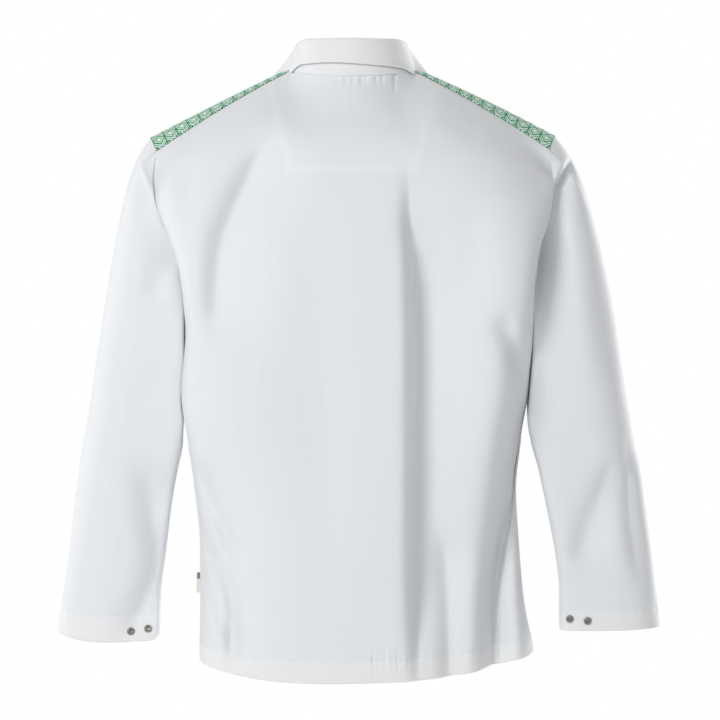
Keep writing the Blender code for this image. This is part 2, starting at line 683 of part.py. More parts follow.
def add_tab(white):
    """The bare tab that is caught in the left side seam."""
    seam = panel_point(-1, TAB_UP, False)
    left = seam.x - CLOTH / 2 - SEAM_GAP - TAB_WIDTH / 2
    bpy.ops.mesh.primitive_cube_add(size=1)
    tab = bpy.context.object
    tab.name = tab.data.name = "side_tab"
    tab.data.transform(Matrix.Diagonal((TAB_WIDTH, TAB_THICK, TAB_TOP - TAB_LOW, 1)))
    tab.data.materials.append(white)
    tab.location = (left, seam.y, (TAB_TOP + TAB_LOW) / 2)
    for collection in list(tab.users_collection):
        collection.objects.unlink(tab)
    bpy.data.collections["pullover_tunic"].objects.link(tab)


def main():
    for old in list(bpy.data.objects):
        bpy.data.objects.remove(old)
    collection = bpy.data.collections.new("pullover_tunic")
    bpy.context.scene.collection.children.link(collection)
    white = material("white_cloth", (0.82, 0.84, 0.85), 0.85)
    print_cloth = material("green_print", (0.35, 0.68, 0.52), 0.85)
    steel = material("stud_steel", (0.35, 0.34, 0.33), 0.3, 1.0)
    add_panels(white)
    add_inserts(print_cloth)
    add_sleeves(white)
    add_collar(white)
    add_facing(white)
    add_slit_strips(white)
    add_studs(steel)
    add_tab(white)


main()
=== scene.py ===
"""The cloth, print, stitching and studs of a long-sleeved pullover work tunic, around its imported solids.

Metres, +Z up. +Y is the wearer's front and +X the wearer's right. Every piece of cloth is a thin
shell on the same sections as its solid, with its creases, turned-up hems and seam allowances.
The rows of table() and creases() are in millimetres and degrees. A side is -1 on the wearer's
left and 1 on the right.
"""
import math
from collections import namedtuple
from functools import cache, partial

import bmesh
import bpy
import numpy as np
from mathutils import Matrix, Vector, noise


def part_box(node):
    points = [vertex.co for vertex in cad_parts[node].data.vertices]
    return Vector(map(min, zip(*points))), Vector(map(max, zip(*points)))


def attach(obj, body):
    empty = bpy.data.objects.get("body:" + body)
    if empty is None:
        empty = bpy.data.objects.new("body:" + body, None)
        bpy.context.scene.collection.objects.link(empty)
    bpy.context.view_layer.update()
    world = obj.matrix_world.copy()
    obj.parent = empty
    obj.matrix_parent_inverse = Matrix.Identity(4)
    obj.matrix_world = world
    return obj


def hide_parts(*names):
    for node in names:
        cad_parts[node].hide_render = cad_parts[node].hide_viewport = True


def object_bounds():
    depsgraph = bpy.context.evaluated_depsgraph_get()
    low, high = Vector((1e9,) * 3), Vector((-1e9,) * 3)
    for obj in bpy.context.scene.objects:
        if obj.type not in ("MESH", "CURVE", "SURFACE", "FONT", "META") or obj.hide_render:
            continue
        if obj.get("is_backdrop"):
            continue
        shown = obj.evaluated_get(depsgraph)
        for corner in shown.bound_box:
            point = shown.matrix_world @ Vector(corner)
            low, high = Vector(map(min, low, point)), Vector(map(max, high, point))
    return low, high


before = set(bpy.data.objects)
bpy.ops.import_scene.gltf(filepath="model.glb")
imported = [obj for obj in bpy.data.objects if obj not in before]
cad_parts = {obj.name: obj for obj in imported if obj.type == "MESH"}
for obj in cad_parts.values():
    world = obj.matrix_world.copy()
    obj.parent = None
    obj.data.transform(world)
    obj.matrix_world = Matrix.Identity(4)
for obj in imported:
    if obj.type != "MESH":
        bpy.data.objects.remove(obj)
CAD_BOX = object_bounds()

SIDES = {-1: "left", 1: "right"}


def table(columns, *rows, plain=""):
    """Rows with named columns, brought from millimetres to metres except in the plain columns."""
    row_kind = namedtuple("Row", columns)
    kept = [name in plain.split() for name in row_kind._fields]
    return [row_kind(*(value if keep else value / 1000 for keep, value in zip(kept, row))) for row in rows]


Crease = namedtuple("Crease", "path depth left right left_power right_power", defaults=(2, 2))


def creases(*rows):
    """Creases seen from behind, from rows in millimetres.

    Each runs down its path of x and z, depth deep, and dies away over left and right on its two
    sides. A negative depth is a ridge. A power of 2 is round and of 1 is sharp.
    """
    made = []
    for path, depth, left, right, *powers in rows:
        made.append(Crease(np.array(path) / 1000, depth / 1000, left / 1000, right / 1000, *powers))
    return made


# Cloth
CLOTH = 0.0007  # one ply
LEAF_CLOTH = 0.0015  # the collar's leaf: two plies and their interlining
STAND_CLOTH = 0.0013
TAB_CLOTH = 0.0004
TURN = 0.0011  # from a ply to the one that is turned in behind it
ALLOWANCE = 0.009  # width of a seam allowance
INSERT_ALLOWANCE = 0.006
PUFF = 0.0006  # how far cloth rises beside a seam
PUFF_REACH = 0.0016
MESH_STEP = 0.0036  # between grid lines
NECK_STEP = 0.0012  # between those below the neckline
BODY_STEP = 0.0058  # between rows of the body
CHEST_STEP = 0.0042
SEAM_LINES = (0.0008, 0.0018, 0.0034)  # extra grid lines beside a seam
CAP_SEAM_LINES = (*SEAM_LINES, 0.0052, 0.0070, 0.0090, 0.0112, 0.0136, 0.0162, 0.0190)
COLLAR_END_LINES = (0.0006, 0.0014, 0.0030, 0.0042)
LEAF_EDGE_LINES = (0.0006, 0.0014, 0.0022, 0.0030, 0.0038, 0.0046)

# Neck ring
NECK_HALF_WIDTH = 0.079
NECK_HALF_DEPTH = 0.070
NECK_MIDDLE_Y = 0.008
NECK_BACK_Z = -0.0125
NECK_SIDE_Z = 0.007
NECK_FRONT_Z = -0.062
NECK_BACK_FLATNESS, NECK_FRONT_FLATNESS = 0.8, 1.3
BACK_SEAM_ANGLE, FRONT_SEAM_ANGLE = 75, 118

# Shoulder insert: its corners at the armhole and the crest between them
SHOULDER_BACK = {-1: Vector((-0.2397, -0.045, -0.1030)), 1: Vector((0.2425, -0.045, -0.1005))}
SHOULDER_CREST = {-1: Vector((-0.2505, -0.003, -0.0840)), 1: Vector((0.2520, -0.003, -0.0815))}
SHOULDER_FRONT = {-1: Vector((-0.2360, 0.048, -0.1180)), 1: Vector((0.2390, 0.048, -0.1160))}
SEAM_BOW = 0.004
CREST_BOW = {-1: 0.001, 1: 0.003}

# Torso, from the hem to the underarm
TORSO = table(
    "z_left z_right z_back z_front left right back front power seam_left seam_right",
    (-730, -719, -745.5, -724, -188.5, 225, -128, 112, 2.9, 3, -46),
    (-660, -658, -662, -660, -187.5, 213, -128, 116, 3, 3, -41),
    (-591, -591, -591, -591, -188, 207.5, -126, 117, 3, 2, -33),
    (-516, -516, -516, -516, -194.5, 204, -124, 116, 3.6, 0, -18),
    (-460, -460, -460, -460, -201.5, 209.5, -126, 117, 4.6, 0, -7),
    (-400, -400, -400, -400, -208, 219, -130, 119, 5.6, 0, 0),
    (-329, -329, -329, -329, -203.2, 222.5, -135, 123, 5.6, 0, 0),
    plain="power seam_left seam_right",
)
SAG_POWER = 3.5

# Back and front between the armholes
arcs = partial(table, "z_side z_middle left right wide middle power turn", plain="power turn")
BACK_ARCS = arcs(
    (-287, -287, -205.3, 222.2, -34, -136, 5.4, -1),
    (-240, -238, -212.6, 226.5, -45, -136, 5, -4),
    (-179, -170, -239.5, 245.5, -29, -130, 3.4, -22),
    (-140, -115, -259, 262.5, 25, -118, 2.9, -30),
)
FRONT_ARCS = arcs(
    (-287, -287, -199.5, 217, 22, 124, 4.8, 3),
    (-240, -240, -199, 215.5, 42, 124, 3.4, -3),
    (-185, -190, -213.5, 226.8, 26, 117, 2.4, -20),
    (-150, -155, -257.5, 264, -26, 108, 2.4, -35),
)
ARC_FAR_SIDE = 0.13
EDGE_EASE = 0.14  # of the half width, over which the corner at the neck is eased below the edge
EDGE_CRISPNESS = 7
ARMHOLE_EASE = 0.09  # of the way round, over which an armhole's corners are eased
NECK_SHARE = 1 / 3
ARC_SHARE = 10 / 13
# The way the cloth runs up to its top edge: at the middle, beside the neck and at the armhole
TOP_RUN = {
    False: [Vector((0, 0.45, 0.90)), Vector((0, 0.88, 0.48)), Vector((0, 0.70, 0.70))],
    True: [Vector((0, -0.45, 0.90)), Vector((0, -0.65, 0.76)), Vector((0, -0.70, 0.70))],
}
NECK_RUN_START, NECK_RUN_FADE = 0.20, 0.30  # of the half width, where the first gives way to the second
RISE_STEP = 0.05  # of a row, over which the cloth's rise is found

# Sleeves, from the biceps to the cuff
SLEEVES = table(
    "z left_in left_out right_in right_out middle depth power lean",
    (-360, -204.8, -319.8, 220.8, 339.7, 18, 78, 26, 0.05),
    (-410, -209, -327.8, 217.8, 348.3, 24, 74, 26, 0.06),
    (-435, -207, -332.5, 216.2, 353, 26, 72, 26, 0.08),
    (-460, -207.2, -337.6, 220, 357.2, 28, 70, 12, 0.1),
    (-499, -215.2, -344, 230.9, 365, 31, 66, 10, 0.1),
    (-537, -223.1, -349.7, 239.4, 370.4, 34, 62, 10, 0.1),
    (-575, -228.7, -354.5, 247.8, 376, 37, 58, 9, 0.1),
    (-613, -234, -360, 254.6, 381.5, 40, 54, 9, 0.1),
    (-651, -239, -365.7, 258.6, 386.6, 42, 50, 8, 0.1),
    (-695, -240.2, -373.5, 259.4, 391.5, 44, 47, 7, 0.1),
    plain="power lean",
)
# How far each cuff hangs below its last ring at its outer side, its inner side and its back
CUFFS = dict(zip(SIDES, table("outer inner back", (1, 3, 15.5), (-0.5, 1.5, 2.2))))
OUTER_POWER = 2.15
CAP_SHARE = 6 / 16
CAP_REACH, CREST_REACH, LOW_REACH = 0.58, 0.30, 0.30
CREST_FALL = 0.22
UNDERARM_REACH = 0.014
CAP_FALL = Vector((0.155, 0.06, -1)) * 2.08

# Collar, from centre back to centre front
COLLAR = table(
    "angle fold_in fold_z edge_angle edge_out edge_left edge_right flare",
    (0, 6, 32.5, 0, 1.4, 2.6, 2.6, 3),
    (25, 6, 32.7, 25, 1.4, 4.4, 0.6, 3),
    (50, 7, 34.5, 50, 1.4, 4.4, -0.4, 4),
    (74, 10, 34.5, 74, 4.5, -7, -7.8, 10),
    (98, 12, 30, 95, 27, -11, -11, 36),
    (122, 8, 12, 113, 31, -33, -33, 38),
    (147, 4, -15, 131, 38, -70, -70, 38),
    (174, 1, -38, 150, 39, -100, -100, 38),
    plain="angle edge_angle",
)
ROLL_RISE = 0.026
ROLL_GAP = 0.0004
LEAF_FALL = 0.028

BACK_CREASES = creases(
    ([(66, -110), (69, -157), (70.5, -193), (76.5, -240), (78.5, -288), (79.8, -348), (80, -500),
      (80, -695), (81, -790)], 43, 9.5, 88, 1.6, 1.7),
    ([(-46, -150), (-36, -420), (-30, -700)], 3, 34, 30),
    ([(-80, -70), (-107.6, -109), (-131.6, -156), (-147, -192), (-158, -228), (-163, -288),
      (-165, -370)], 22, 17, 46, 1.5, 2),
    ([(-191, -110), (-200, -165), (-199, -200)], 2.5, 12, 10),
    ([(-165, -384), (-205, -422)], 3, 9, 12),
    ([(-186, -470), (-174, -525), (-160, -557), (-146, -586), (-124, -616)], 15, 7, 24, 1.6, 1.5),
    ([(-188, -560), (-172, -598), (-155, -622), (-145, -660), (-146, -745)], 15, 7, 22, 1.6, 1.5),
    ([(-184, -630), (-171, -656), (-155, -680), (-140, -720)], 8, 6, 14, 1.6, 1.5),
    ([(178, -296), (187, -325), (198, -352), (210, -390)], 10, 14, 12),
    ([(104, -555), (112, -596), (116, -640), (117, -725), (118, -790)], 15, 12, 24, 1.5, 2),
    ([(105, -55), (160, -96)], 1.8, 12, 12),
    ([(150, -150), (140, -300)], 2.5, 20, 20),
    ([(-60, -62), (45, -66)], 1.4, 12, 14),
)
# The trough along the lower side seam on the wearer's right, which both panels share
SIDE_CREASES = creases(
    ([(218, -280), (208, -400), (201, -455), (195, -510), (190, -545), (180, -607.6), (174.5, -654),
      (173, -735), (173, -840)], 49, 17, 22, 1.5, 2),
)
SIDE_CREASE_EDGE = 0.05  # depth of the body over which it dies away
FRONT_CREASES = creases(
    ([(-75, -180), (-68, -450), (-60, -760)], -6, 30, 26),
    ([(60, -240), (78, -480), (90, -760)], -6, 22, 30),
    ([(-150, -180), (-138, -300), (-118, -430)], -5, 24, 26),
    ([(160, -180), (146, -300), (124, -460)], -5, 26, 22),
    ([(20, -300), (8, -520), (14, -760)], 4, 26, 18),
    ([(-196, -480), (-160, -600), (-130, -740)], 3.6, 18, 10),
    ([(190, -470), (160, -580), (140, -740)], 3.6, 10, 18),
    ([(-190, -350), (-140, -320), (-95, -300)], 3, 10, 14),
    ([(195, -360), (150, -325), (110, -300)], 3, 14, 10),
)
SLEEVE_BACK_CREASES = {
    -1: creases(
        ([(-268, -104), (-260.2, -116), (-252.9, -134), (-241.3, -160), (-229.1, -181),
          (-218, -213)], -7.5, 5, 12, 1.2, 1),
        ([(-222, -225), (-246, -292)], 5, 16, 12),
        ([(-256, -470), (-253, -520), (-247, -560), (-243, -600), (-249, -636), (-262, -666),
          (-280, -700), (-294, -740)], 20, 16, 40, 1.6, 2),
        ([(-300, -300), (-318, -560)], -3, 20, 24),
    ),
    1: creases(
        ([(290, -85), (272, -112), (259, -137), (249, -156), (240.5, -180), (234.5, -208), (231, -235),
          (226, -275), (223.5, -330)], 24, 4.5, 15, 2, 1.2),
        ([(328, -470), (309, -525), (292, -570), (278, -630)], 12, 14, 34, 1.6, 2),
        ([(342, -440), (344, -530), (348, -580), (362, -650)], 7, 10, 18, 1.4, 2),
        ([(300, -230), (322, -400)], 3, 18, 14),
    ),
}
SLEEVE_FRONT_CREASES = {
    -1: creases(
        ([(-225, -220), (-262, -300)], 5, 14, 14),
        ([(-300, -480), (-262, -560)], 4.5, 12, 14),
        ([(-262, -560), (-310, -660)], 3.5, 14, 10),
    ),
    1: creases(
        ([(235, -220), (275, -300)], 5, 14, 14),
        ([(315, -470), (275, -550)], 4.5, 14, 12),
        ([(280, -560), (330, -660)], 3.5, 10, 14),
    ),
}
CREASE_END = 0.28  # of a crease's length, over which each end dies away
SEAM_TAPER = 0.014  # beside a seam, where creases die away
CAP_TAPER = 0.004
UNDERARM_FADE = 0.03  # of the way up, over which the raised side seam ends above the underarm
# Small tucks below the neck seam at the back: where, how far down they reach, and how deep
TUCKS = table(
    "x reach depth",
    (-24.5, 21, 1.1), (-18.3, 24, 1.6), (-7.6, 26, 1.8), (1.5, 22, 1.8), (12.1, 30, 2.1),
    (17.3, 26, 1.7), (30, 27, 1.6), (37.2, 21, 1.4), (53, 42, 1.6),
)
TUCK_WIDTH = 0.0026
TUCK_START = 0.002

# Slight waves of hanging cloth, as size and height
CLOTH_RIPPLES = (0.110, 0.0012), (0.036, 0.00035)
LEAF_RIPPLES = (0.050, 0.0006), (0.018, 0.0002)
RIPPLE_STRETCH = 2.4  # how much longer they are downwards

# Hems
HEM = 0.0210  # width of the body's turned-up hem
CUFF_HEM = 0.0195
HEM_OVERLAP = 0.0005  # of the turned-up cloth past its stitches
DOUBLED_FADE = 0.0016  # over which a hem's doubled look ends
HEM_GROOVE, HEM_GROOVE_REACH = 0.0004, 0.0011  # how deep and how wide a row of stitches sinks in
LEAF_GROOVE, LEAF_GROOVE_REACH = 0.0003, 0.0009
PUCKER = 0.0013
PUCKER_SHORT, PUCKER_LONG = 0.0075, 0.021  # lengths of the two waves that make up the puckers
PUCKER_LONG_SHARE = 0.6
PUCKER_FADE = 0.0055
PUCKER_REACH = 0.018
PUCKER_TAPER = 0.006  # beside a seam

# Facing, slit, strips and tab
FACING_TOP_HALF, FACING_LOW_HALF = 0.107, 0.084
FACING_LOW_UP, FACING_TOP_UP = 0.755, 0.955
FACING_DEPTH = 0.0024
FACING_MIDDLE_X = 0.001
FACING_LOW_Z = -0.1375
FACING_LOW_SHOWN = 0.0800  # half of the width that shows through at its lower edge
FACING_SPLAY = 0.232
SLIT_HALF = 0.004
SLIT_LOW_UP = 0.70
STRIP_HALF_WIDTH = 0.017
STRIP_LOW_UP, STRIP_TOP_UP = 0.66, 0.996
STRIP_RISE = 0.0013
TAB_GAP = 0.0010  # between the two plies of the folded side tab
TAB_SEWN_IN = 0.0026
TAB_BAND = 0.008
TAB_LEAN, TAB_BOW = 0.0010, 0.0005

STUD_PLACES = {
    -1: {"outer": (-0.2770, -0.7000), "inner": (-0.2557, -0.6970)},
    1: {"inner": (0.2720, -0.6832), "outer": (0.2940, -0.6855)},
}
# Half of a stud's section, as radius and height
STUD_PROFILE = [
    (0.0, 0.0005), (0.0019, 0.0004), (0.0022, 0.0006), (0.0024, 0.0014), (0.0028, 0.0019),
    (0.0035, 0.0021), (0.0043, 0.0018), (0.0049, 0.0010), (0.0050, 0.0004), (0.0047, 0.0),
]
PRONGS = 5
PRONG_PLACE = (0.0015, 0, 0.0008)
PRONG_SIZE = (0.0006, 0.00035, 0.0004)

STITCH_STEP = 0.0030
STITCH_SIZE = (0.00105, 0.00022, 0.00016)  # half of its length, width and height
COLLAR_INSET = 0.0032
STAND_INSET = 0.0022
STRIP_INSET = 0.86  # of the strip's half width

# Lengths along the cloth, which its grid lines and its flat coordinates follow
PANEL_WIDTH, PANEL_HEIGHT = 0.56, 0.76
UNDERARM_HEIGHT, ARMHOLE_HEIGHT, TOP_HEIGHT = 0.42, 0.19, 0.13
SLEEVE_ROUND, SLEEVE_LENGTH = 0.36, 0.62
CAP_LENGTH, ARM_LENGTH = 0.27, 0.345
INSERT_LENGTH, INSERT_WIDTH = 0.18, 0.10
HALF_NECK_LENGTH = 0.09
COLLAR_HALF, STAND_HEIGHT, LEAF_DEPTH = 0.23, 0.044, 0.040


# ---- shapes of the sections ----


def slope(before, here, after):
    """The slope of a smooth curve at here that never overshoots its neighbours."""
    down, up = here - before, after - here
    return 2 * down * up / (down + up) if down * up > 0 else 0.0


def hermite(start, leave, end, arrive, t):
    """The value or point at t on the curve from start to end, with the given slopes at its ends."""
    return (
        start * ((1 + 2 * t) * (1 - t) ** 2)
        + end * (t * t * (3 - 2 * t))
        + leave * (t * (1 - t) ** 2)
        + arrive * (t * t * (t - 1))
    )


def between(rows, place, straight_start=False, straight_end=False):
    """The table's row at place, from 0 to len(rows) - 1, on a smooth curve through the rows.

    The curve is level at its ends, or runs straight on past them where that is asked for.
    """
    last = len(rows) - 1
    index = min(int(place), last - 1)
    t = place - index
    before, start, end, after = (rows[min(max(index + k, 0), last)] for k in (-1, 0, 1, 2))
    if straight_start and index == 0:
        before = [2 * a - b for a, b in zip(start, end)]
    if straight_end and index == last - 1:
        after = [2 * b - a for a, b in zip(start, end)]
    columns = zip(before, start, end, after)
    return type(start)(*(hermite(a, slope(p, a, b), b, slope(a, b, n), t) for p, a, b, n in columns))


def smooth(share):
    """An eased share, from 0 to 1, of a number or an array."""
    share = np.clip(share, 0, 1)
    return share * share * (3 - 2 * share)


def squared(degrees, power):
    """Sine and cosine for a section squared off by power: 2 is an ellipse."""
    sine, cosine = math.sin(math.radians(degrees)), math.cos(math.radians(degrees))
    size = (abs(sine) ** power + abs(cosine) ** power) ** (1 / power)
    return sine / size, cosine / size


# The back or front half of a section: near is its own side of the body and wide its widest place
Half = namedtuple("Half", "z_left z_right z_near z_far left right wide near far power turn_left turn_right")


def torso_half(level, front):
    """The back or front half of a torso level."""
    order = -1 if front else 1
    heights = (level.z_back, level.z_front)[::order]
    depths = (level.back, level.front)[::order]
    turns = order * level.seam_left, order * level.seam_right
    sides = level.z_left, level.z_right, *heights, level.left, level.right
    return Half(*sides, 0.0, *depths, level.power, *turns)


def arc_half(arc, front):
    """An arc of the back or front in the same terms."""
    far = arc.wide + (-ARC_FAR_SIDE if front else ARC_FAR_SIDE)
    heights = arc.z_side, arc.z_side, arc.z_middle, arc.z_side
    return Half(*heights, arc.left, arc.right, arc.wide, arc.middle, far, arc.power, arc.turn, arc.turn)


ROWS = {
    front: [torso_half(level, front) for level in TORSO] + [arc_half(arc, front) for arc in above]
    for front, above in ((False, BACK_ARCS), (True, FRONT_ARCS))
}


@cache
def section(front, place):
    return between(ROWS[front], place, straight_start=True)


def half_point(half, across):
    """A point of a half section. across is -1 at its left edge and 1 at its right."""
    turn = half.turn_right if across > 0 else half.turn_left
    out, deep = squared(across * (90 + turn), half.power)
    depth, z_depth = (half.near, half.z_near) if deep > 0 else (half.far, half.z_far)
    z_side = half.z_left + (half.z_right - half.z_left) * (out + 1) / 2
    sag = z_depth - (half.z_left + half.z_right) / 2
    x = half.left + (half.right - half.left) * (out + 1) / 2
    return Vector((x, half.wide + (depth - half.wide) * abs(deep), z_side + sag * abs(deep) ** SAG_POWER))


def neck_point(degrees, side, outside=0.0):
    """The neck ring at an angle from centre back, on one side, or a place outside it."""
    sine, cosine = math.sin(math.radians(degrees)), math.cos(math.radians(degrees))
    back = degrees < 90
    end_z = NECK_BACK_Z if back else NECK_FRONT_Z
    flatness = NECK_BACK_FLATNESS if back else NECK_FRONT_FLATNESS
    x = side * (NECK_HALF_WIDTH + outside) * sine
    y = NECK_MIDDLE_Y - (NECK_HALF_DEPTH + outside) * cosine
    return Vector((x, y, NECK_SIDE_Z + (end_z - NECK_SIDE_Z) * abs(cosine) ** flatness))


def top_edge(across, front):
    """The top edge of the back or front: shoulder seam, neckline, shoulder seam."""
    side = 1 if across > 0 else -1
    seam, middle = (FRONT_SEAM_ANGLE, 180) if front else (BACK_SEAM_ANGLE, 0)
    if abs(across) <= NECK_SHARE:
        return neck_point(middle + (seam - middle) * abs(across) / NECK_SHARE, side)
    share = (abs(across) - NECK_SHARE) / (1 - NECK_SHARE)
    point = neck_point(seam, side).lerp((SHOULDER_FRONT if front else SHOULDER_BACK)[side], share)
    point.z += SEAM_BOW * 4 * share * (1 - share)
    return point


@cache
def eased_top_edge(across, front):
    """The top edge with its corner at the neck rounded off, which the cloth below it follows."""
    reach = min(EDGE_EASE, 1 - abs(across))
    places = [top_edge(across + reach * k / 4, front) for k in range(-4, 5)]
    return sum(places, Vector()) / len(places)


def panel_point(across, up, front):
    """A point of the back or front. up is 0 at the hem and 1 at the shoulder seam."""
    last = len(ROWS[front]) - 1
    point = half_point(section(front, min(1.0, up / ARC_SHARE) * last), across)
    if up > ARC_SHARE:
        rise = (point - half_point(section(front, last - RISE_STEP), across)).normalized()
        end = top_edge(across, front)
        middle, beside_neck, armhole = TOP_RUN[front]
        arrive = middle.lerp(beside_neck, float(smooth((abs(across) - NECK_RUN_START) / NECK_RUN_FADE)))
        arrive = arrive.lerp(armhole, float(smooth(2 * abs(across) - 1)))
        far = (end - point).length
        t = (up - ARC_SHARE) / (1 - ARC_SHARE)
        eased = eased_top_edge(across, front)
        point = hermite(point, rise * far, eased, arrive * far, t) + (end - eased) * t**EDGE_CRISPNESS
    return point


def insert_point(side, out, over):
    """A point of a shoulder insert. out is 0 at the neck, and over is 0 at the back seam."""
    across = side * (NECK_SHARE + out * (1 - NECK_SHARE))
    back, front = top_edge(across, False), top_edge(across, True)
    crest = neck_point((BACK_SEAM_ANGLE + FRONT_SEAM_ANGLE) / 2, side).lerp(SHOULDER_CREST[side], out)
    crest.z += CREST_BOW[side] * 4 * out * (1 - out)
    pull = crest * 2 - (back + front) / 2
    return back * (1 - over) ** 2 + pull * 2 * over * (1 - over) + front * over * over


def crowded(degrees, power):
    """An angle moved nearer to the corner of its quarter, the more so the squarer the section."""
    corner = 90 * math.floor(degrees / 90) + 45
    share = (degrees - corner) / 45
    return corner + 45 * math.copysign(abs(share) ** min(1 + (power - 2) / 5, 2.3), share)


def ring_point(side, ring, around):
    """A point of a sleeve section. around is 0 at its outer side, 0.25 at its back, 0.5 inside."""
    inner, outer = (ring.left_in, ring.left_out) if side < 0 else (ring.right_in, ring.right_out)
    power = ring.power if 0.25 < around < 0.75 else OUTER_POWER
    sine, cosine = squared(crowded(around * 360, power), power)
    lean = side * ring.lean * ring.depth * (1 - sine) * (1 - cosine) / 2
    x = (inner + outer) / 2 + (outer - inner) / 2 * cosine + lean
    return Vector((x, ring.middle - ring.depth * sine, ring.z))


@cache
def sleeve_ring(place):
    return between(SLEEVES, place, straight_end=True)


def sleeve_point(side, start, eased, around, down):
    """A point of a sleeve, whose column begins at start on the armhole, and soon follows eased, a
    softer line beside it. down is 1 at the cuff."""
    if down <= CAP_SHARE:
        end = ring_point(side, SLEEVES[0], around)
        drop = start.z - end.z
        crest = 1 - float(smooth(4 * min(around, 1 - around)))
        low = float(smooth(2 - 8 * abs(around - 0.5)))
        reach = CAP_REACH * (1 - low) + (CREST_REACH - CAP_REACH) * crest - LOW_REACH * low
        leave = Vector((side * reach, 0, -CREST_FALL * crest)) * drop
        leave.x += side * UNDERARM_REACH
        arrive = Vector((side * CAP_FALL.x * (1 - low), CAP_FALL.y, CAP_FALL.z)) * drop
        t = down / CAP_SHARE
        return hermite(eased, leave, end, arrive, t) + (start - eased) * (1 - t) ** EDGE_CRISPNESS
    place = (down - CAP_SHARE) / (1 - CAP_SHARE) * (len(SLEEVES) - 1)
    point = ring_point(side, sleeve_ring(place), around)
    near_cuff = max(0.0, place - (len(SLEEVES) - 2))
    cuff, turn = CUFFS[side], around * 2 * math.pi
    hang = cuff.outer + (cuff.inner - cuff.outer) * (1 - math.cos(turn)) / 2 + cuff.back * math.sin(turn)
    point.z -= near_cuff * hang
    return point


def collar_spoke(around):
    """The collar's table at around, from -1 at its left front end to 1 at its right."""
    return between(COLLAR, abs(around) * (len(COLLAR) - 1))


def fold_line(around):
    """Where the collar turns down."""
    spoke = collar_spoke(around)
    point = neck_point(spoke.angle, math.copysign(1, around), -spoke.fold_in)
    point.z = spoke.fold_z
    return point


def stand_point(around, up):
    """A point of the collar's stand, from the neck seam to the fold."""
    seam = neck_point(collar_spoke(around).angle, math.copysign(1, around))
    fold = fold_line(around)
    fold.z -= ROLL_GAP
    return seam.lerp(fold, up)


def leaf_point(around, down):
    """A point of the collar's leaf, from the fold over and down to its edge."""
    spoke = collar_spoke(around)
    fold = fold_line(around)
    edge = neck_point(spoke.edge_angle, math.copysign(1, around), spoke.edge_out)
    edge.z = spoke.edge_left if around < 0 else spoke.edge_right
    outwards = Vector((edge.x - fold.x, edge.y - fold.y, 0)).normalized()
    flare = outwards * spoke.flare + Vector((0, 0, -LEAF_FALL))
    return hermite(fold, Vector((0, 0, ROLL_RISE)), edge, flare, down)


# ---- skins: fine grids of points ----


def lines(start, end, length, low=(), high=(), step=MESH_STEP):
    """Grid lines from start to end, a step apart, with more at distances from either end."""
    steps = max(2, round(length / step))
    per_metre = (end - start) / length
    near = [start + far * per_metre for far in low] + [end - far * per_metre for far in high]
    even = [start + (end - start) * k / steps for k in range(1, steps)]
    gap = 0.35 * abs(end - start) / steps
    kept = [value for value in even if all(abs(value - other) > gap for other in near)]
    return sorted({start, end, *kept, *near}, reverse=end < start)


def hem_lines(width):
    """Distances from an edge of the extra grid lines along its hem."""
    return 0.0006, 0.0015, width - 0.0022, width - 0.0011, width, width + 0.0011, width + 0.0022


class Skin:
    """A surface as a grid of points, with their outward normals."""

    def __init__(self, place, columns, rows, outward):
        self.columns, self.rows = np.array(columns), np.array(rows)
        self.across, self.up = np.meshgrid(self.columns, self.rows)
        self.points = np.array([[place(column, row) for column in columns] for row in rows])
        self.outward = outward
        self.doubled = np.ones(self.across.shape)  # where the cloth lies double
        self.find_normals()

    def find_normals(self):
        across, up = np.gradient(self.points, axis=1), np.gradient(self.points, axis=0)
        normals = np.cross(across, up) * self.outward
        self.normals = normals / np.linalg.norm(normals, axis=2, keepdims=True)

    def push(self, depth):
        """Moves the points in by depth, an array like the grid, and finds the normals again."""
        self.points = self.points - self.normals * depth[..., None]
        self.find_normals()

    def bend(self, creases, share):
        """Moves the points along Y by a share of the creases' depth."""
        self.points[..., 1] += share * crease_depth(creases, self.points[..., 0], self.points[..., 2])
        self.find_normals()

    def at(self, column, row, height=0.0):
        """A place height above the skin, with its normal, between grid lines."""
        i, s = cell(self.columns, column)
        j, t = cell(self.rows, row)
        weights = np.outer((1 - t, t), (1 - s, s))[..., None]
        grids = self.points, self.normals
        point, normal = ((grid[j : j + 2, i : i + 2] * weights).sum(axis=(0, 1)) for grid in grids)
        return Vector(point + normal * height), Vector(normal).normalized()

    def column_at(self, x, row):
        """The column where a row crosses x."""
        j, t = cell(self.rows, row)
        xs = self.points[j, :, 0] * (1 - t) + self.points[j + 1, :, 0] * t
        order = np.argsort(xs)
        return float(np.interp(x, xs[order], self.columns[order]))

    def places(self, columns, rows, thick=CLOTH):
        """Places on the cloth's outer face, one after another."""
        return [self.at(float(column), float(row), thick / 2) for column in columns for row in rows]


def cell(values, value):
    """Which gap between rising or falling grid lines holds a value, and how far through it."""
    sign = 1 if values[-1] > values[0] else -1
    rising, aim = values * sign, value * sign
    index = int(np.clip(np.searchsorted(rising, aim, side="right") - 1, 0, len(rising) - 2))
    return index, float(np.clip((aim - rising[index]) / (rising[index + 1] - rising[index]), 0, 1))


def smooth_line(path, steps=9):
    """Points on a smooth curve through a path's points."""
    points = [2 * path[0] - path[1], *path, 2 * path[-1] - path[-2]]
    made = []
    for a, b, c, d in zip(points, points[1:], points[2:], points[3:]):
        for t in np.arange(steps) / steps:
            made.append(hermite(b, (c - a) / 2, c, (d - b) / 2, t))
    return np.array([*made, points[-2]])


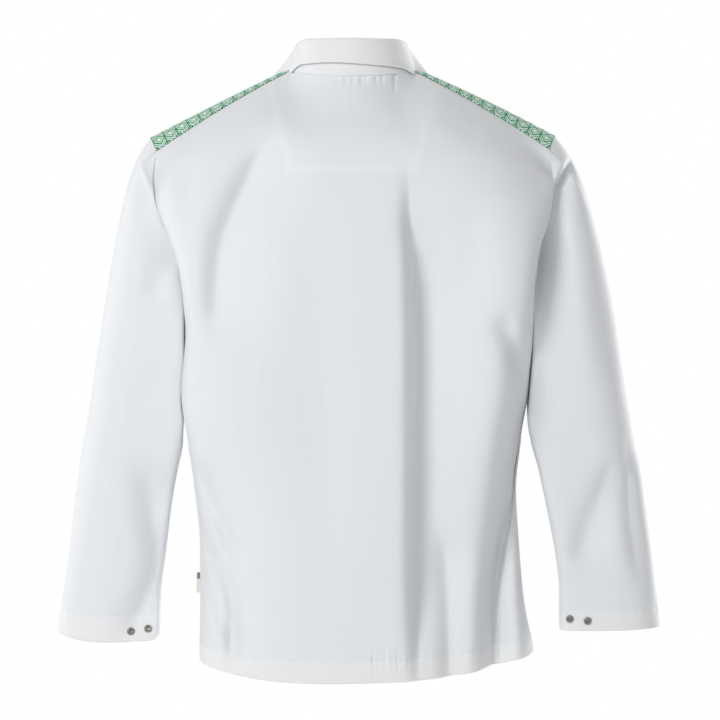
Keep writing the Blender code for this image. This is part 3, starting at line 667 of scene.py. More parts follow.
def crease_depth(creases, x, z):
    """How deep the creases are at places seen from behind, given as arrays."""
    places = np.stack([x.ravel(), z.ravel()], axis=1)
    every = np.arange(len(places))
    total = np.zeros(len(places))
    for crease in creases:
        line = smooth_line(crease.path)
        run = np.diff(line, axis=0)
        length = np.linalg.norm(run, axis=1)
        from_start = places[:, None] - line[None, :-1]
        share = np.clip((from_start * run).sum(axis=2) / length**2, 0, 1)
        gap = from_start - share[..., None] * run
        far = np.linalg.norm(gap, axis=2)
        near = far.argmin(axis=1)
        gap, far, share = gap[every, near], far[every, near], share[every, near]
        beside = run[near, 0] * gap[:, 1] - run[near, 1] * gap[:, 0]
        width = np.where(beside > 0, crease.right, crease.left)
        power = np.where(beside > 0, crease.right_power, crease.left_power)
        starts = np.concatenate([[0], np.cumsum(length)])
        travelled = (starts[near] + share * length[near]) / starts[-1]
        ends = smooth(travelled / CREASE_END) * smooth((1 - travelled) / CREASE_END)
        total += crease.depth * ends * np.exp(-((far / width) ** power))
    return total.reshape(x.shape)


def noise_over(*places):
    """Smooth noise at places given as three arrays or numbers."""
    x, y, z = np.broadcast_arrays(*places)
    values = [noise.noise(Vector(place)) for place in zip(x.ravel(), y.ravel(), z.ravel())]
    return np.reshape(values, x.shape)


def ripple(points, seed, waves=CLOTH_RIPPLES):
    """Slight unevenness of hanging cloth: soft waves, longer downwards."""
    x, y, z = np.moveaxis(points, -1, 0)
    down = z / RIPPLE_STRETCH
    return sum(height * noise_over(x / size, y / size + seed, down / size) for size, height in waves)


def puff(*distances):
    """The rise of cloth beside seams, given how far away each of them is."""
    return sum(PUFF * np.exp(-distance / PUFF_REACH) for distance in distances)


def groove(distance, depth=HEM_GROOVE, reach=HEM_GROOVE_REACH):
    """A row of stitches sinking in."""
    return depth * np.exp(-((distance / reach) ** 2))


def puckers(along, distance, seed):
    """Small gathers beside a row of stitches. along and distance are arrays, in metres."""
    wave = noise_over(along / PUCKER_SHORT, seed, 0.5)
    wave += PUCKER_LONG_SHARE * noise_over(along / PUCKER_LONG, seed, 4.5)
    return np.where(distance < PUCKER_REACH, PUCKER * wave * np.exp(-distance / PUCKER_FADE), 0.0)


def hem_relief(skin, from_edge, width, from_seam, along, seed):
    """The stitches and puckers of a turned-up hem, whose cloth is marked as lying double."""
    skin.doubled = smooth((width + DOUBLED_FADE / 2 - from_edge) / DOUBLED_FADE)
    gap = from_edge - width
    return groove(gap) + smooth(from_seam / PUCKER_TAPER) * puckers(along, np.abs(gap), seed)


# ---- sewing skins into cloth ----


def turned_in(count, first, last):
    """Grid lines, each with how many plies in it lies, with some at either end turned in behind."""
    before = [(k, 1) for k in range(first, 0, -1)]
    after = [(count - 1 - k, 1) for k in range(1, last + 1)]
    return [*before, *((k, 0) for k in range(count)), *after]


def reach_of(values, end, width, span):
    """How many grid lines past the end, 0 or -1, lie within a width of it. span is a unit's length."""
    return max(0, np.count_nonzero(np.abs(values - values[end]) * span < width) - 1)


def flat_run(entries, values, per_unit):
    """Where each grid line lies on the flat cloth, with what is turned in laid out past the edge."""
    run = [0.0]
    for (here, _), (after, _) in zip(entries, entries[1:]):
        run.append(run[-1] + abs(values[after] - values[here]) * per_unit)
    return run


def flat_area(points):
    """The area of a grid of points."""
    crossed = np.cross(points[1:, 1:] - points[:-1, :-1], points[1:, :-1] - points[:-1, 1:])
    return float(np.linalg.norm(crossed, axis=2).sum() / 2)


def add_piece(name, shape, finish, replaced=None, wall=None):
    """A piece of the tunic from a shape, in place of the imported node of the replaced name."""
    mesh = bpy.data.meshes.new(name)
    shape.to_mesh(mesh)
    shape.free()
    mesh.shade_smooth()
    mesh.materials.append(finish)
    piece = bpy.data.objects.new(name, mesh)
    bpy.context.scene.collection.objects.link(piece)
    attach(piece, "root")
    if replaced:
        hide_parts(replaced)
    if wall:
        thickness = piece.modifiers.new("wall", "SOLIDIFY")
        thickness.thickness, thickness.offset = wall, 0
    return piece


UNTURNED = 0, 1


def sew(
    name, finish, skin, size, cut, turned=(UNTURNED,) * 3, extra=0, thick=CLOTH, hole=None
):
    """A sheet of cloth on a skin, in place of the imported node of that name.

    size is the cloth's width and height for a unit of the skin's columns and rows, and cut is its
    flat width and length. turned gives the width turned in and a unit's length for both sides, the
    first row and the last, and extra is the area of it. hole picks the cells that are left out.
    """
    sides, first, last = turned
    side = reach_of(skin.columns, 0, *sides)
    columns = turned_in(len(skin.columns), side, side)
    rows = turned_in(len(skin.rows), reach_of(skin.rows, 0, *first), reach_of(skin.rows, -1, *last))
    grid = bmesh.new()
    bmesh.ops.create_grid(grid, x_segments=len(columns) - 1, y_segments=len(rows) - 1, size=0.5)
    flat_place = grid.loops.layers.uv.new("cloth")
    doubled = grid.verts.layers.float.new("doubled")

    def spot(point, whole):
        return whole((point.x + 0.5) * (len(columns) - 1)), whole((point.y + 0.5) * (len(rows) - 1))

    cells = [(face, spot(face.calc_center_median(), int)) for face in grid.faces] if hole else []
    left_out = [face for face, (i, j) in cells if hole(columns[i][0], rows[j][0])]
    spots = {vertex: spot(vertex.co, round) for vertex in grid.verts}
    for vertex, (i, j) in spots.items():
        (column, side_ply), (row, hem_ply) = columns[i], rows[j]
        inward = TURN * (side_ply + hem_ply)
        vertex.co = skin.points[row, column] - skin.normals[row, column] * inward
        vertex[doubled] = skin.doubled[row, column]
    flat_across, flat_up = flat_run(columns, skin.columns, size[0]), flat_run(rows, skin.rows, size[1])
    for face in grid.faces:
        for loop in face.loops:
            i, j = spots[loop.vert]
            loop[flat_place].uv = flat_across[i], flat_up[j]
    bmesh.ops.delete(grid, geom=left_out, context="FACES")
    if skin.outward < 0:
        bmesh.ops.reverse_faces(grid, faces=grid.faces)
    piece = add_piece(name + "_cloth", grid, finish, name, thick)
    area = min(flat_area(skin.points) + extra, cut[0] * cut[1])


# ---- finishes ----


def feed(tree, inputs, values):
    """Sets inputs to values, or links them to sockets."""
    for key, value in values.items():
        if isinstance(value, bpy.types.NodeSocket):
            tree.links.new(value, inputs[key])
        else:
            inputs[key].default_value = value


def add_node(tree, kind, inputs=None, **settings):
    """A node with its settings and inputs."""
    made = tree.nodes.new(kind)
    for key, value in settings.items():
        setattr(made, key, value)
    feed(tree, made.inputs, inputs or {})
    return made


def maths(tree, operation, a, b=0.0, c=0.0):
    """A Math node's result."""
    return add_node(tree, "ShaderNodeMath", {0: a, 1: b, 2: c}, operation=operation).outputs[0]


def remap(tree, value, low, high, to_low=0.0, to_high=1.0):
    """A value brought from one range to another, and held within it."""
    ranges = {"Value": value, "From Min": low, "From Max": high, "To Min": to_low, "To Max": to_high}
    return add_node(tree, "ShaderNodeMapRange", ranges).outputs[0]


def mix(tree, share, a, b):
    """A colour between two others."""
    return add_node(tree, "ShaderNodeMix", {0: share, 6: a, 7: b}, data_type="RGBA").outputs[2]


def object_place(tree):
    return add_node(tree, "ShaderNodeTexCoord").outputs["Object"]


def flat_cloth(tree):
    return add_node(tree, "ShaderNodeUVMap", uv_map="cloth").outputs[0]


def new_group(name, inputs, outputs):
    """A shader node group with named sockets. An input with no default takes a vector."""
    group = bpy.data.node_groups.new(name, "ShaderNodeTree")
    for label, default in inputs.items():
        kind = "NodeSocketVector" if default is None else "NodeSocketFloat"
        socket = group.interface.new_socket(label, in_out="INPUT", socket_type=kind)
        if default is not None:
            socket.default_value = default
    for label in outputs:
        group.interface.new_socket(label, in_out="OUTPUT", socket_type="NodeSocketFloat")
    return group, group.nodes.new("NodeGroupInput").outputs, group.nodes.new("NodeGroupOutput").inputs


def use_group(tree, group, inputs):
    """A node group placed in a material."""
    made = tree.nodes.new("ShaderNodeGroup")
    made.node_tree = group
    feed(tree, made.inputs, inputs)
    return made.outputs


@cache
def fine_grain():
    """Fine noise in the piece's own space."""
    group, given, result = new_group("fine_grain", {"Scale": 1000.0, "Detail": 1.0}, ["Grain"])
    inputs = {"Vector": object_place(group), "Scale": given["Scale"], "Detail": given["Detail"]}
    feed(group, result, {"Grain": add_node(group, "ShaderNodeTexNoise", inputs).outputs["Fac"]})
    return group


@cache
def plain_weave():
    """Threads over and under each other, on flat cloth coordinates, with uneven yarns."""
    group, given, result = new_group("plain_weave", {"Cloth": None, "Pitch": 0.0005}, ["Height", "Yarn"])
    calc = partial(maths, group)
    split = add_node(group, "ShaderNodeSeparateXYZ", {0: given["Cloth"]})
    waves = []
    for axis in ("X", "Y"):
        turns = calc("DIVIDE", split.outputs[axis], given["Pitch"])
        waves.append(calc("SINE", calc("MULTIPLY", turns, math.tau)))
    yarns = []
    for stretch, weight in (((420, 5, 1), 0.85), ((9, 540, 1), 0.15)):
        along = add_node(group, "ShaderNodeMapping", {"Vector": given["Cloth"], "Scale": stretch})
        uneven = add_node(group, "ShaderNodeTexNoise", {"Vector": along.outputs[0], "Scale": 1, "Detail": 2})
        yarns.append(calc("MULTIPLY", uneven.outputs["Fac"], weight))
    height = calc("MULTIPLY_ADD", calc("MULTIPLY", *waves), 0.5, 0.5)
    feed(group, result, {"Height": height, "Yarn": calc("ADD", *yarns)})
    return group


def show_through(tree):
    """How strongly the back neck facing shows through the back, and its seam allowances."""
    calc = partial(maths, tree)
    split = add_node(tree, "ShaderNodeSeparateXYZ", {0: object_place(tree)})
    above = calc("SUBTRACT", split.outputs["Z"], FACING_LOW_Z)
    half = calc("MULTIPLY_ADD", above, FACING_SPLAY, FACING_LOW_SHOWN)
    inside = calc("SUBTRACT", half, calc("ABSOLUTE", calc("SUBTRACT", split.outputs["X"], FACING_MIDDLE_X)))
    shapes = []
    for low, high in ((0.0, 0.0028), (0.0085, 0.0120)):
        shapes.append(calc("MULTIPLY", remap(tree, inside, low, high), remap(tree, above, low, high)))
    return shapes[0], calc("SUBTRACT", *shapes)


def trellis(tree, cloth):
    """The lines and fill of a diamond trellis with a smaller diamond in each, on flat cloth."""
    calc = partial(maths, tree)
    split = add_node(tree, "ShaderNodeSeparateXYZ", {0: cloth})
    u = calc("DIVIDE", split.outputs["X"], TRELLIS_WIDTH)
    v = calc("DIVIDE", split.outputs["Y"], TRELLIS_HEIGHT)
    to_line = []
    for diagonal in (calc("ADD", u, v), calc("SUBTRACT", u, v)):
        to_line.append(calc("ABSOLUTE", calc("SUBTRACT", calc("FRACT", diagonal), 0.5)))
    far = calc("SUBTRACT", 0.5, calc("MAXIMUM", *to_line))
    thick_lines = calc("LESS_THAN", far, 0.070)
    inner = calc("COMPARE", far, 0.26, 0.036)
    upright = calc("SUBTRACT", calc("FRACT", calc("ADD", u, 0.5)), 0.5)
    stem = calc("LESS_THAN", calc("ABSOLUTE", upright), 0.045)
    return calc("MAXIMUM", calc("MAXIMUM", thick_lines, inner), stem), calc("GREATER_THAN", far, 0.30)


def new_material(name, describe, **settings):
    """A material. describe gives what goes into its shader's inputs."""
    made = bpy.data.materials.new(name)
    made.use_nodes = True
    tree = made.node_tree
    feed(tree, tree.nodes["Principled BSDF"].inputs, describe(tree, **settings))
    return made


SINGLE_WHITE = (0.760, 0.778, 0.800, 1)
DOUBLE_WHITE = (0.790, 0.800, 0.812, 1)
ALLOWANCE_WHITE = (0.820, 0.822, 0.824, 1)
PRINT_GROUND, PRINT_FILL = (0.64, 0.82, 0.70, 1), (0.84, 0.88, 0.84, 1)
PRINT_LINES = (0.010, 0.250, 0.105, 1)
TRELLIS_WIDTH, TRELLIS_HEIGHT = 0.0150, 0.0170
THREAD_DARK, THREAD_LIGHT = (0.74, 0.76, 0.77, 1), (0.86, 0.87, 0.87, 1)
NICKEL_DARK, NICKEL_LIGHT = (0.20, 0.185, 0.17, 1), (0.42, 0.40, 0.38, 1)
TAB_WHITE, TAB_GREY, TAB_GRAIN = (0.78, 0.78, 0.75, 1), (0.16, 0.17, 0.17, 1), (0.5, 0.5, 0.48, 1)


def woven(tree, colour, relief):
    """Woven cloth of a colour, with its uneven yarns and its relief."""
    weave = use_group(tree, plain_weave(), {"Cloth": flat_cloth(tree)})
    toned = add_node(tree, "ShaderNodeVectorMath", {0: colour}, operation="SCALE")
    feed(tree, toned.inputs, {"Scale": remap(tree, weave["Yarn"], 0.3, 0.7, 0.988, 1.012)})
    threads = maths(tree, "MULTIPLY", weave["Height"], 0.6)
    height = maths(tree, "ADD", threads, maths(tree, "MULTIPLY", weave["Yarn"], 0.8))
    bump = add_node(tree, "ShaderNodeBump", {"Height": height, "Strength": relief, "Distance": 0.0002})
    return {
        "Base Color": toned.outputs[0],
        "Normal": bump.outputs[0],
        "Roughness": 0.86,
        "Sheen Weight": 0.12,
        "Sheen Roughness": 0.5,
        "Specular IOR Level": 0.25,
    }


def white_cloth(tree, facing_shows=False):
    """White cloth, a little lighter and warmer where it lies double."""
    doubled = add_node(tree, "ShaderNodeAttribute", attribute_name="doubled").outputs["Fac"]
    if not facing_shows:
        return woven(tree, mix(tree, doubled, SINGLE_WHITE, DOUBLE_WHITE), 0.12)
    facing, allowance = show_through(tree)
    doubled = maths(tree, "MAXIMUM", doubled, maths(tree, "MULTIPLY", facing, 0.15))
    colour = mix(tree, doubled, SINGLE_WHITE, DOUBLE_WHITE)
    return woven(tree, mix(tree, maths(tree, "MULTIPLY", allowance, 0.38), colour, ALLOWANCE_WHITE), 0.12)


def green_print(tree):
    drawn, filled = trellis(tree, flat_cloth(tree))
    ground = mix(tree, filled, PRINT_GROUND, PRINT_FILL)
    return woven(tree, mix(tree, drawn, ground, PRINT_LINES), 0.25)


def thread_finish(tree):
    grain = use_group(tree, fine_grain(), {"Scale": 900})[0]
    return {"Base Color": mix(tree, grain, THREAD_DARK, THREAD_LIGHT), "Roughness": 0.7, "Sheen Weight": 0.1}


def nickel(tree):
    grain = use_group(tree, fine_grain(), {"Scale": 1400, "Detail": 3})[0]
    colour = mix(tree, grain, NICKEL_DARK, NICKEL_LIGHT)
    return {"Base Color": colour, "Roughness": remap(tree, grain, 0, 1, 0.18, 0.42), "Metallic": 1.0}


def tab_finish(tree):
    """The bare side tab: white with a woven grey band at its top."""
    height = add_node(tree, "ShaderNodeSeparateXYZ", {0: object_place(tree)}).outputs["Z"]
    band = maths(tree, "GREATER_THAN", height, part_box("side_tab")[1][2] - TAB_BAND)
    colour = mix(tree, band, TAB_WHITE, TAB_GREY)
    grain = use_group(tree, fine_grain(), {"Scale": 2500})[0]
    share = maths(tree, "MULTIPLY", grain, 0.25)
    return {"Base Color": mix(tree, share, colour, TAB_GRAIN), "Roughness": 0.8}


def floor_finish(tree):
    seen = add_node(tree, "ShaderNodeLightPath").outputs["Is Camera Ray"]
    return {
        "Base Color": (0.93, 0.93, 0.93, 1),
        "Roughness": 0.9,
        "Emission Color": (1, 1, 1, 1),
        "Emission Strength": maths(tree, "MULTIPLY", seen, 0.12),
    }


# ---- the pieces ----


UNDERARM_UP = ARC_SHARE * (len(TORSO) - 1) / (len(ROWS[False]) - 1)
BODY_SPAN = UNDERARM_HEIGHT / UNDERARM_UP
TOP_SPAN = TOP_HEIGHT / (1 - ARC_SHARE)
CAP_SPAN = CAP_LENGTH / CAP_SHARE
ARM_SPAN = ARM_LENGTH / (1 - CAP_SHARE)
OVER_LINES = lines(0, 1, INSERT_WIDTH, SEAM_LINES, SEAM_LINES)
SIDE_LINES = lines(-1, -NECK_SHARE, INSERT_LENGTH, SEAM_LINES)
LEVELS = [
    *lines(0, UNDERARM_UP, UNDERARM_HEIGHT, hem_lines(HEM), (), BODY_STEP),
    *lines(UNDERARM_UP, ARC_SHARE, ARMHOLE_HEIGHT, step=CHEST_STEP)[1:],
    *lines(ARC_SHARE, 1, TOP_HEIGHT, (), SEAM_LINES)[1:],
]
SLEEVE_ROWS = [
    *lines(0, CAP_SHARE, CAP_LENGTH, CAP_SEAM_LINES),
    *lines(CAP_SHARE, 1, ARM_LENGTH, (), hem_lines(CUFF_HEM))[1:],
]


def panel_columns(front):
    """Grid lines across the back or front."""
    end, step = (-SLIT_HALF, MESH_STEP) if front else (0, NECK_STEP)
    middle = lines(-NECK_SHARE, end, HALF_NECK_LENGTH, step=step)
    left = [*SIDE_LINES, *middle[1:]]
    right = [-value for value in reversed(left)]
    return [*left, *right] if front else [*left, *right[1:]]


def panel_skin(front):
    """The back or front with its creases, hem groove and raised seams."""
    inwards = -1 if front else 1
    skin = Skin(lambda a, u: panel_point(a, u, front), panel_columns(front), LEVELS, inwards)
    x = skin.points[..., 0]
    from_side = (1 - np.abs(skin.across)) * PANEL_WIDTH / 2
    from_top = (1 - skin.up) * TOP_SPAN
    free = smooth(from_side / SEAM_TAPER) * smooth(from_top / SEAM_TAPER)
    unevenness = free * ripple(skin.points, 7.3 if front else 0.0)
    skin.bend(FRONT_CREASES if front else BACK_CREASES, inwards * free)
    skin.bend(SIDE_CREASES, smooth(-skin.points[..., 1] / SIDE_CREASE_EDGE))
    skin.push(unevenness)
    below_armhole = 1 - smooth((skin.up - UNDERARM_UP) / UNDERARM_FADE)
    fine = puff(from_side) * below_armhole + puff(from_top)
    along = skin.across * PANEL_WIDTH / 2
    fine += hem_relief(skin, skin.up * BODY_SPAN, HEM, from_side, along, 3 * front)
    if not front:
        fine += tucks(x, from_top)
    skin.push(fine)
    return skin


def tucks(x, from_top):
    """Small tucks where the back is eased onto the neck seam."""
    depth = np.zeros(x.shape)
    for tuck in TUCKS:
        fade = smooth(from_top / TUCK_START) * smooth(1 - from_top / tuck.reach)
        depth += tuck.depth * fade * np.exp(-(((x - tuck.x) / TUCK_WIDTH) ** 2))
    return depth


def add_panel(front, finish):
    """The back or the front, with seam allowances and a turned-up hem."""
    skin = panel_skin(front)
    middle = len(skin.columns) // 2
    edges = (ALLOWANCE, PANEL_WIDTH / 2), (HEM + HEM_OVERLAP, BODY_SPAN), (ALLOWANCE, TOP_SPAN)

    def slit(column, row):
        return column == middle - 1 and skin.rows[row] >= SLIT_LOW_UP - 0.001

    sew(
        "front" if front else "back", finish, skin, (PANEL_WIDTH / 2, PANEL_HEIGHT), (0.60, 0.80),
        turned=edges, extra=0.05, hole=slit if front else None,
    )
    return skin


def armhole(side, panel):
    """The corners of half an armhole on a panel, from the underarm up."""
    first = int(np.argmin(np.abs(panel.rows - UNDERARM_UP)))
    return [Vector(point) for point in panel.points[first:, -1 if side > 0 else 0]]


def add_insert(side, finish):
    """The printed strip over a shoulder."""
    out = [(-line - NECK_SHARE) / (1 - NECK_SHARE) for line in reversed(SIDE_LINES)]
    skin = Skin(lambda s, t: insert_point(side, s, t), out, OVER_LINES, -side)
    over = skin.up * INSERT_WIDTH
    skin.push(puff(over, INSERT_WIDTH - over, (1 - skin.across) * INSERT_LENGTH))
    long_edge = INSERT_ALLOWANCE, INSERT_WIDTH
    sew(
        "shoulder_insert_" + SIDES[side], finish, skin, (INSERT_LENGTH, INSERT_WIDTH), (0.19, 0.11),
        turned=(UNTURNED, long_edge, long_edge), extra=0.002,
    )


def shares(points):
    """How far along an open line each of its corners lies, from 0 to 1."""
    run = [0.0]
    for start, end in zip(points, points[1:]):
        run.append(run[-1] + (end - start).length)
    return [length / run[-1] for length in run]


def eased_line(points, places):
    """A softer line through points, each the average of those within reach of its own place."""
    made = []
    for middle in places:
        reach = min(ARMHOLE_EASE, middle - places[0], places[-1] - middle)
        weights = [max(0.0, 1 - abs(place - middle) / (reach + 1e-6)) for place in places]
        made.append(sum((point * weight for point, weight in zip(points, weights)), Vector()) / sum(weights))
    return made


def sleeve_skin(side, back, front):
    """A sleeve, from the underarm over its front, outer side and back to the underarm again."""
    over = [insert_point(side, 1, t) for t in OVER_LINES]
    middle = int(np.argmin(np.abs(np.array(OVER_LINES) - 0.5)))
    front_edge = [*armhole(side, front), *over[-2 : middle - 1 : -1]]
    back_edge = [*over[middle:0:-1], *reversed(armhole(side, back))]
    edge = [*front_edge, *back_edge[1:]]
    columns = [0.5 + share / 2 for share in shares(front_edge)]
    columns += [1 + share / 2 for share in shares(back_edge)[1:]]
    begins = dict(zip(columns, zip(edge, eased_line(edge, columns))))
    skin = Skin(lambda a, d: sleeve_point(side, *begins[a], a % 1.0, d), columns, SLEEVE_ROWS, side)
    around = skin.across
    from_seam = np.minimum(around - 0.5, 1.5 - around) * SLEEVE_ROUND
    free = smooth(skin.up * CAP_SPAN / CAP_TAPER) * smooth(from_seam / SEAM_TAPER)
    unevenness = free * ripple(skin.points, 3.1 * side)
    turn = np.sin(around * math.tau)
    skin.bend(SLEEVE_BACK_CREASES[side], free * smooth(2 * turn))
    skin.bend(SLEEVE_FRONT_CREASES[side], -free * smooth(-2 * turn))
    skin.push(unevenness)
    from_cuff = (1 - skin.up) * ARM_SPAN
    along = around * SLEEVE_ROUND
    skin.push(puff(from_seam) + hem_relief(skin, from_cuff, CUFF_HEM, from_seam, along, 5 + side))
    return skin


def add_sleeve(side, back, front, finish):
    skin = sleeve_skin(side, back, front)
    edges = (ALLOWANCE, SLEEVE_ROUND), (ALLOWANCE, CAP_SPAN), (CUFF_HEM + HEM_OVERLAP, ARM_SPAN)
    size = SLEEVE_ROUND, SLEEVE_LENGTH
    sew("sleeve_" + SIDES[side], finish, skin, size, (0.52, 0.66), turned=edges, extra=0.02)
    return skin


def add_collar(finish):
    """Stand and leaf. A row of stitches sinks in near the leaf's edge."""
    around = lines(-1, 1, 2 * COLLAR_HALF, COLLAR_END_LINES, COLLAR_END_LINES)
    stand = Skin(stand_point, around, lines(0, 1, STAND_HEIGHT, SEAM_LINES), 1)
    stand.push(puff(stand.up * STAND_HEIGHT))
    leaf = Skin(leaf_point, around, lines(0, 1, LEAF_DEPTH, (), LEAF_EDGE_LINES), -1)
    from_edge = np.minimum((1 - leaf.up) * LEAF_DEPTH, (1 - np.abs(leaf.across)) * COLLAR_HALF)
    leaf.push(ripple(leaf.points, 5.0, LEAF_RIPPLES))
    leaf.push(groove(from_edge - COLLAR_INSET, LEAF_GROOVE, LEAF_GROOVE_REACH))
    sew("collar_stand", finish, stand, (COLLAR_HALF, 0.05), (0.46, 0.05), thick=STAND_CLOTH)
    sew("collar_leaf", finish, leaf, (COLLAR_HALF, 0.12), (0.56, 0.12), thick=LEAF_CLOTH)
    return stand, leaf


def laid_piece(name, panel, half, levels, height, finish, cut):
    """A flat piece that lies on or behind a panel. half gives its half width at a level."""

    def place(share, level):
        return panel.at(panel.column_at(share * half(level), level), level, height)[0]

    skin = Skin(place, np.linspace(-1, 1, 13), levels, panel.outward)
    sew(name, finish, skin, (cut[0] / 2, PANEL_HEIGHT), cut)
    return skin


def add_facing(back, finish):
    """The back neck facing, inside the back."""

    def half(level):
        return np.interp(level, (FACING_LOW_UP, FACING_TOP_UP), (FACING_LOW_HALF, FACING_TOP_HALF))

    levels = np.linspace(FACING_LOW_UP, FACING_TOP_UP, 29)
    laid_piece("back_neck_facing", back, half, levels, -FACING_DEPTH, finish, (0.22, 0.13))


def add_strip(name, front, height, finish):
    """A strip over or under the front slit."""
    levels = np.linspace(STRIP_LOW_UP, STRIP_TOP_UP, 41)
    return laid_piece(name, front, lambda level: STRIP_HALF_WIDTH, levels, height, finish, (0.036, 0.17))


def add_stitches(name, runs, finish):
    """Rows of stitches. Each run is a list of places and the way the cloth faces there."""
    made = bmesh.new()
    for places in runs:
        points = [place for place, _ in places]
        total = sum((b - a).length for a, b in zip(points, points[1:]))
        along = shares(points)
        count = int(total / STITCH_STEP)
        for k in range(count):
            share = (k + 0.5) / count
            index = min(int(np.searchsorted(along, share, side="right")) - 1, len(points) - 2)
            t = (share - along[index]) / (along[index + 1] - along[index])
            run = (points[index + 1] - points[index]).normalized()
            out = places[index][1].lerp(places[index + 1][1], t)
            side = out.cross(run).normalized()
            turn = Matrix((run, side, run.cross(side))).transposed().to_4x4()
            seat = Matrix.Translation(points[index].lerp(points[index + 1], t))
            size = Matrix.Diagonal((*STITCH_SIZE, 1))
            bmesh.ops.create_icosphere(made, subdivisions=1, radius=1, matrix=seat @ turn @ size)
    add_piece(name, made, finish)


def add_stud(name, skin, x, z, finish):
    """A ring press stud: a rounded ring with a recess and the tips of its prongs."""
    around, down, step = 1.25, 0.97, 0.004
    for _ in range(30):
        point, _ = skin.at(around, down)
        ahead, _ = skin.at(around + step, down)
        around += step * (x - point.x) / (ahead - point).x
        down += (point.z - z) * 0.9
    ring = bmesh.new()
    verts = [ring.verts.new((radius, 0, height)) for radius, height in STUD_PROFILE]
    edges = [ring.edges.new(pair) for pair in zip(verts, verts[1:])]
    turn = {"axis": (0, 0, 1), "cent": (0, 0, 0), "angle": math.tau, "steps": 36, "use_merge": True}
    bmesh.ops.spin(ring, geom=[*verts, *edges], **turn)
    bmesh.ops.remove_doubles(ring, verts=ring.verts, dist=0.00001)
    bmesh.ops.edgeloop_fill(ring, edges=[edge for edge in ring.edges if edge.is_boundary])
    for k in range(PRONGS):
        turn = Matrix.Rotation(math.tau * k / PRONGS + 0.3, 4, "Z")
        seat = turn @ Matrix.Translation(PRONG_PLACE) @ Matrix.Diagonal((*PRONG_SIZE, 1))
        bmesh.ops.create_icosphere(ring, subdivisions=2, radius=1, matrix=seat)
    bmesh.ops.recalc_face_normals(ring, faces=ring.faces)
    point, out = skin.at(around, down, CLOTH / 2)
    place = Matrix.Translation(point) @ out.to_track_quat("Z", "Y").to_matrix().to_4x4()
    bmesh.ops.transform(ring, matrix=place, verts=ring.verts)
    add_piece(name + "_ring", ring, finish, name)


def add_tab(finish):
    """The bare tab in the left side seam, folded at its outer edge and leaning out a little."""
    low, high = (Vector(corner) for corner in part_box("side_tab"))
    size = high - low
    bend = TAB_GAP / 2
    flat = [size.x * (k / 6) for k in range(6)]
    turns = np.linspace(0, math.pi, 9)
    fold = [(size.x - bend + bend * math.sin(turn), bend * math.cos(turn)) for turn in turns]
    profile = [*((out, bend) for out in flat), *fold, *((out, -bend) for out in reversed(flat))]
    tab = bmesh.new()
    bmesh.ops.create_grid(tab, x_segments=len(profile) - 1, y_segments=20, size=0.5)
    for vertex in tab.verts:
        out, side = profile[round((vertex.co.x + 0.5) * (len(profile) - 1))]
        up = vertex.co.y + 0.5
        x = high.x + TAB_SEWN_IN - out - TAB_LEAN * (1 - up) * out / size.x
        vertex.co = (x, (low.y + high.y) / 2 - side + TAB_BOW * math.sin(2.2 * up), low.z + up * size.z)
    piece = add_piece("side_tab_cloth", tab, finish, "side_tab", wall=TAB_CLOTH)


# ---- stage, light and camera ----


CAMERA_PLACE = Vector((0.010, -2.8, -0.36))
CAMERA_SENSOR = 36
VIEW_WIDTH = 0.9
FLOOR_Z = -1.5
FLOOR_RADIUS = 4
WORLD_LIGHT = 0.33
# How much light each lamp gives to a surface that faces it, next to what makes white
Lamp = namedtuple("Lamp", "name place size light")
LAMPS = [
    Lamp("key", (-2.0, -2.8, 0.9), (1.2, 1.6), 0.462),
    Lamp("fill", (0.6, -3.0, 1.5), (2.0, 2.0), 0.165),
    Lamp("left_rim", (-2.6, 1.3, 0.0), (1.0, 2.4), 0.40),
    Lamp("right_rim", (2.3, 2.0, 0.0), (1.0, 2.4), 1.20),
]
LAMPS_AIM = Vector((0, 0, -0.36))


def add_lamp(lamp):
    """A lamp whose power gives its light at the tunic."""
    data = bpy.data.lights.new(lamp.name, "AREA")
    data.shape = "RECTANGLE"
    data.size, data.size_y = lamp.size
    reach = LAMPS_AIM - Vector(lamp.place)
    data.energy = lamp.light * math.pi**2 * reach.length_squared
    made = bpy.data.objects.new(lamp.name, data)
    made.location = lamp.place
    made.rotation_euler = reach.to_track_quat("-Z", "Y").to_euler()
    bpy.context.scene.collection.objects.link(made)


def add_stage():
    """A pale floor, a white surround, soft lamps and the camera."""
    scene = bpy.context.scene
    world = bpy.data.worlds.new("white")
    world.use_nodes = True
    scene.world = world
    tree = world.node_tree
    rays = add_node(tree, "ShaderNodeLightPath").outputs
    seen = maths(tree, "MAXIMUM", rays["Is Camera Ray"], rays["Is Transmission Ray"])
    strength = remap(tree, seen, 0, 1, WORLD_LIGHT, 1)
    feed(tree, tree.nodes["Background"].inputs, {"Strength": strength, "Color": (1, 1, 1, 1)})

    middle = (0, 0, FLOOR_Z)
    bpy.ops.mesh.primitive_circle_add(vertices=96, radius=FLOOR_RADIUS, fill_type="NGON", location=middle)
    floor = bpy.context.object
    floor.name = "floor"
    floor.data.materials.append(new_material("floor", floor_finish))
    floor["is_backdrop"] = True

    for lamp in LAMPS:
        add_lamp(lamp)

    data = bpy.data.cameras.new("camera")
    data.sensor_width = CAMERA_SENSOR
    data.lens = CAMERA_SENSOR * -CAMERA_PLACE.y / VIEW_WIDTH
    camera = bpy.data.objects.new("camera", data)
    camera.location = CAMERA_PLACE
    camera.rotation_euler = (math.pi / 2, 0, 0)
    scene.collection.objects.link(camera)
    scene.camera = camera
    scene.view_settings.view_transform = "Standard"


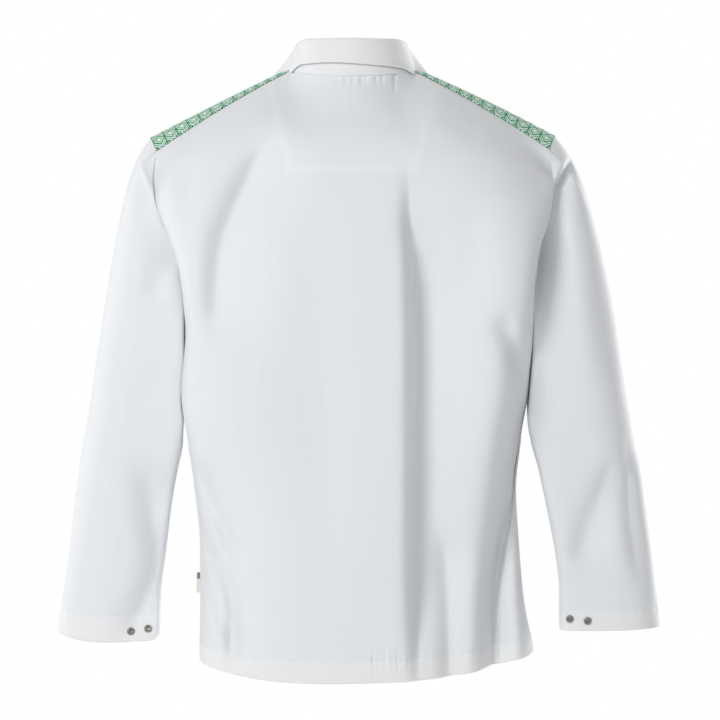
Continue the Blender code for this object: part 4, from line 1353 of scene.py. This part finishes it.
def add_all_stitches(back, front, sleeves, stand, leaf, strip, finish):
    rows = [panel.places(panel.columns, [HEM / BODY_SPAN]) for panel in (back, front)]
    add_stitches("hem_stitches", rows, finish)
    for side, skin in sleeves.items():
        row = skin.places(skin.columns, [1 - CUFF_HEM / ARM_SPAN])
        add_stitches("cuff_stitches_" + SIDES[side], [row], finish)
    end = 1 - COLLAR_INSET / COLLAR_HALF
    low = 1 - COLLAR_INSET / LEAF_DEPTH
    inner = [column for column in leaf.columns if abs(column) < end]
    rows = [*(row for row in leaf.rows if row < low), low]
    runs = [
        leaf.places([-end, *inner, end], [low], LEAF_CLOTH),
        leaf.places([-end], rows, LEAF_CLOTH),
        leaf.places([end], rows, LEAF_CLOTH),
        stand.places(stand.columns, [STAND_INSET / STAND_HEIGHT], STAND_CLOTH),
    ]
    add_stitches("collar_stitches", runs, finish)
    rows = strip.rows[1:]
    across = np.linspace(-STRIP_INSET, STRIP_INSET, 9)
    runs = [strip.places([column], rows) for column in (-STRIP_INSET, STRIP_INSET)]
    runs.append(strip.places(across, rows[:1]))
    add_stitches("slit_stitches", runs, finish)


def plain(box):
    """A box as plain lists of numbers."""
    return [[float(value) for value in corner] for corner in box]


def main():
    add_stage()
    white = new_material("white_cloth", white_cloth)
    back_white = new_material("white_cloth_back", white_cloth, facing_shows=True)
    print_cloth = new_material("green_print", green_print)
    thread = new_material("thread", thread_finish)
    steel = new_material("dark_nickel", nickel)
    back = add_panel(False, back_white)
    front = add_panel(True, white)
    for side in SIDES:
        add_insert(side, print_cloth)
    sleeves = {side: add_sleeve(side, back, front, white) for side in SIDES}
    stand, leaf = add_collar(white)
    add_facing(back, white)
    strip = add_strip("slit_overlap", front, STRIP_RISE, white)
    add_strip("slit_underlap", front, -STRIP_RISE, white)
    add_tab(new_material("tab_cloth", tab_finish))
    for side, places in STUD_PLACES.items():
        for which, (x, z) in places.items():
            add_stud(f"stud_{SIDES[side]}_{which}", sleeves[side], x, z, steel)
    add_all_stitches(back, front, sleeves, stand, leaf, strip, thread)
    {"cad": plain(CAD_BOX), "visual": plain(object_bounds())}


main()
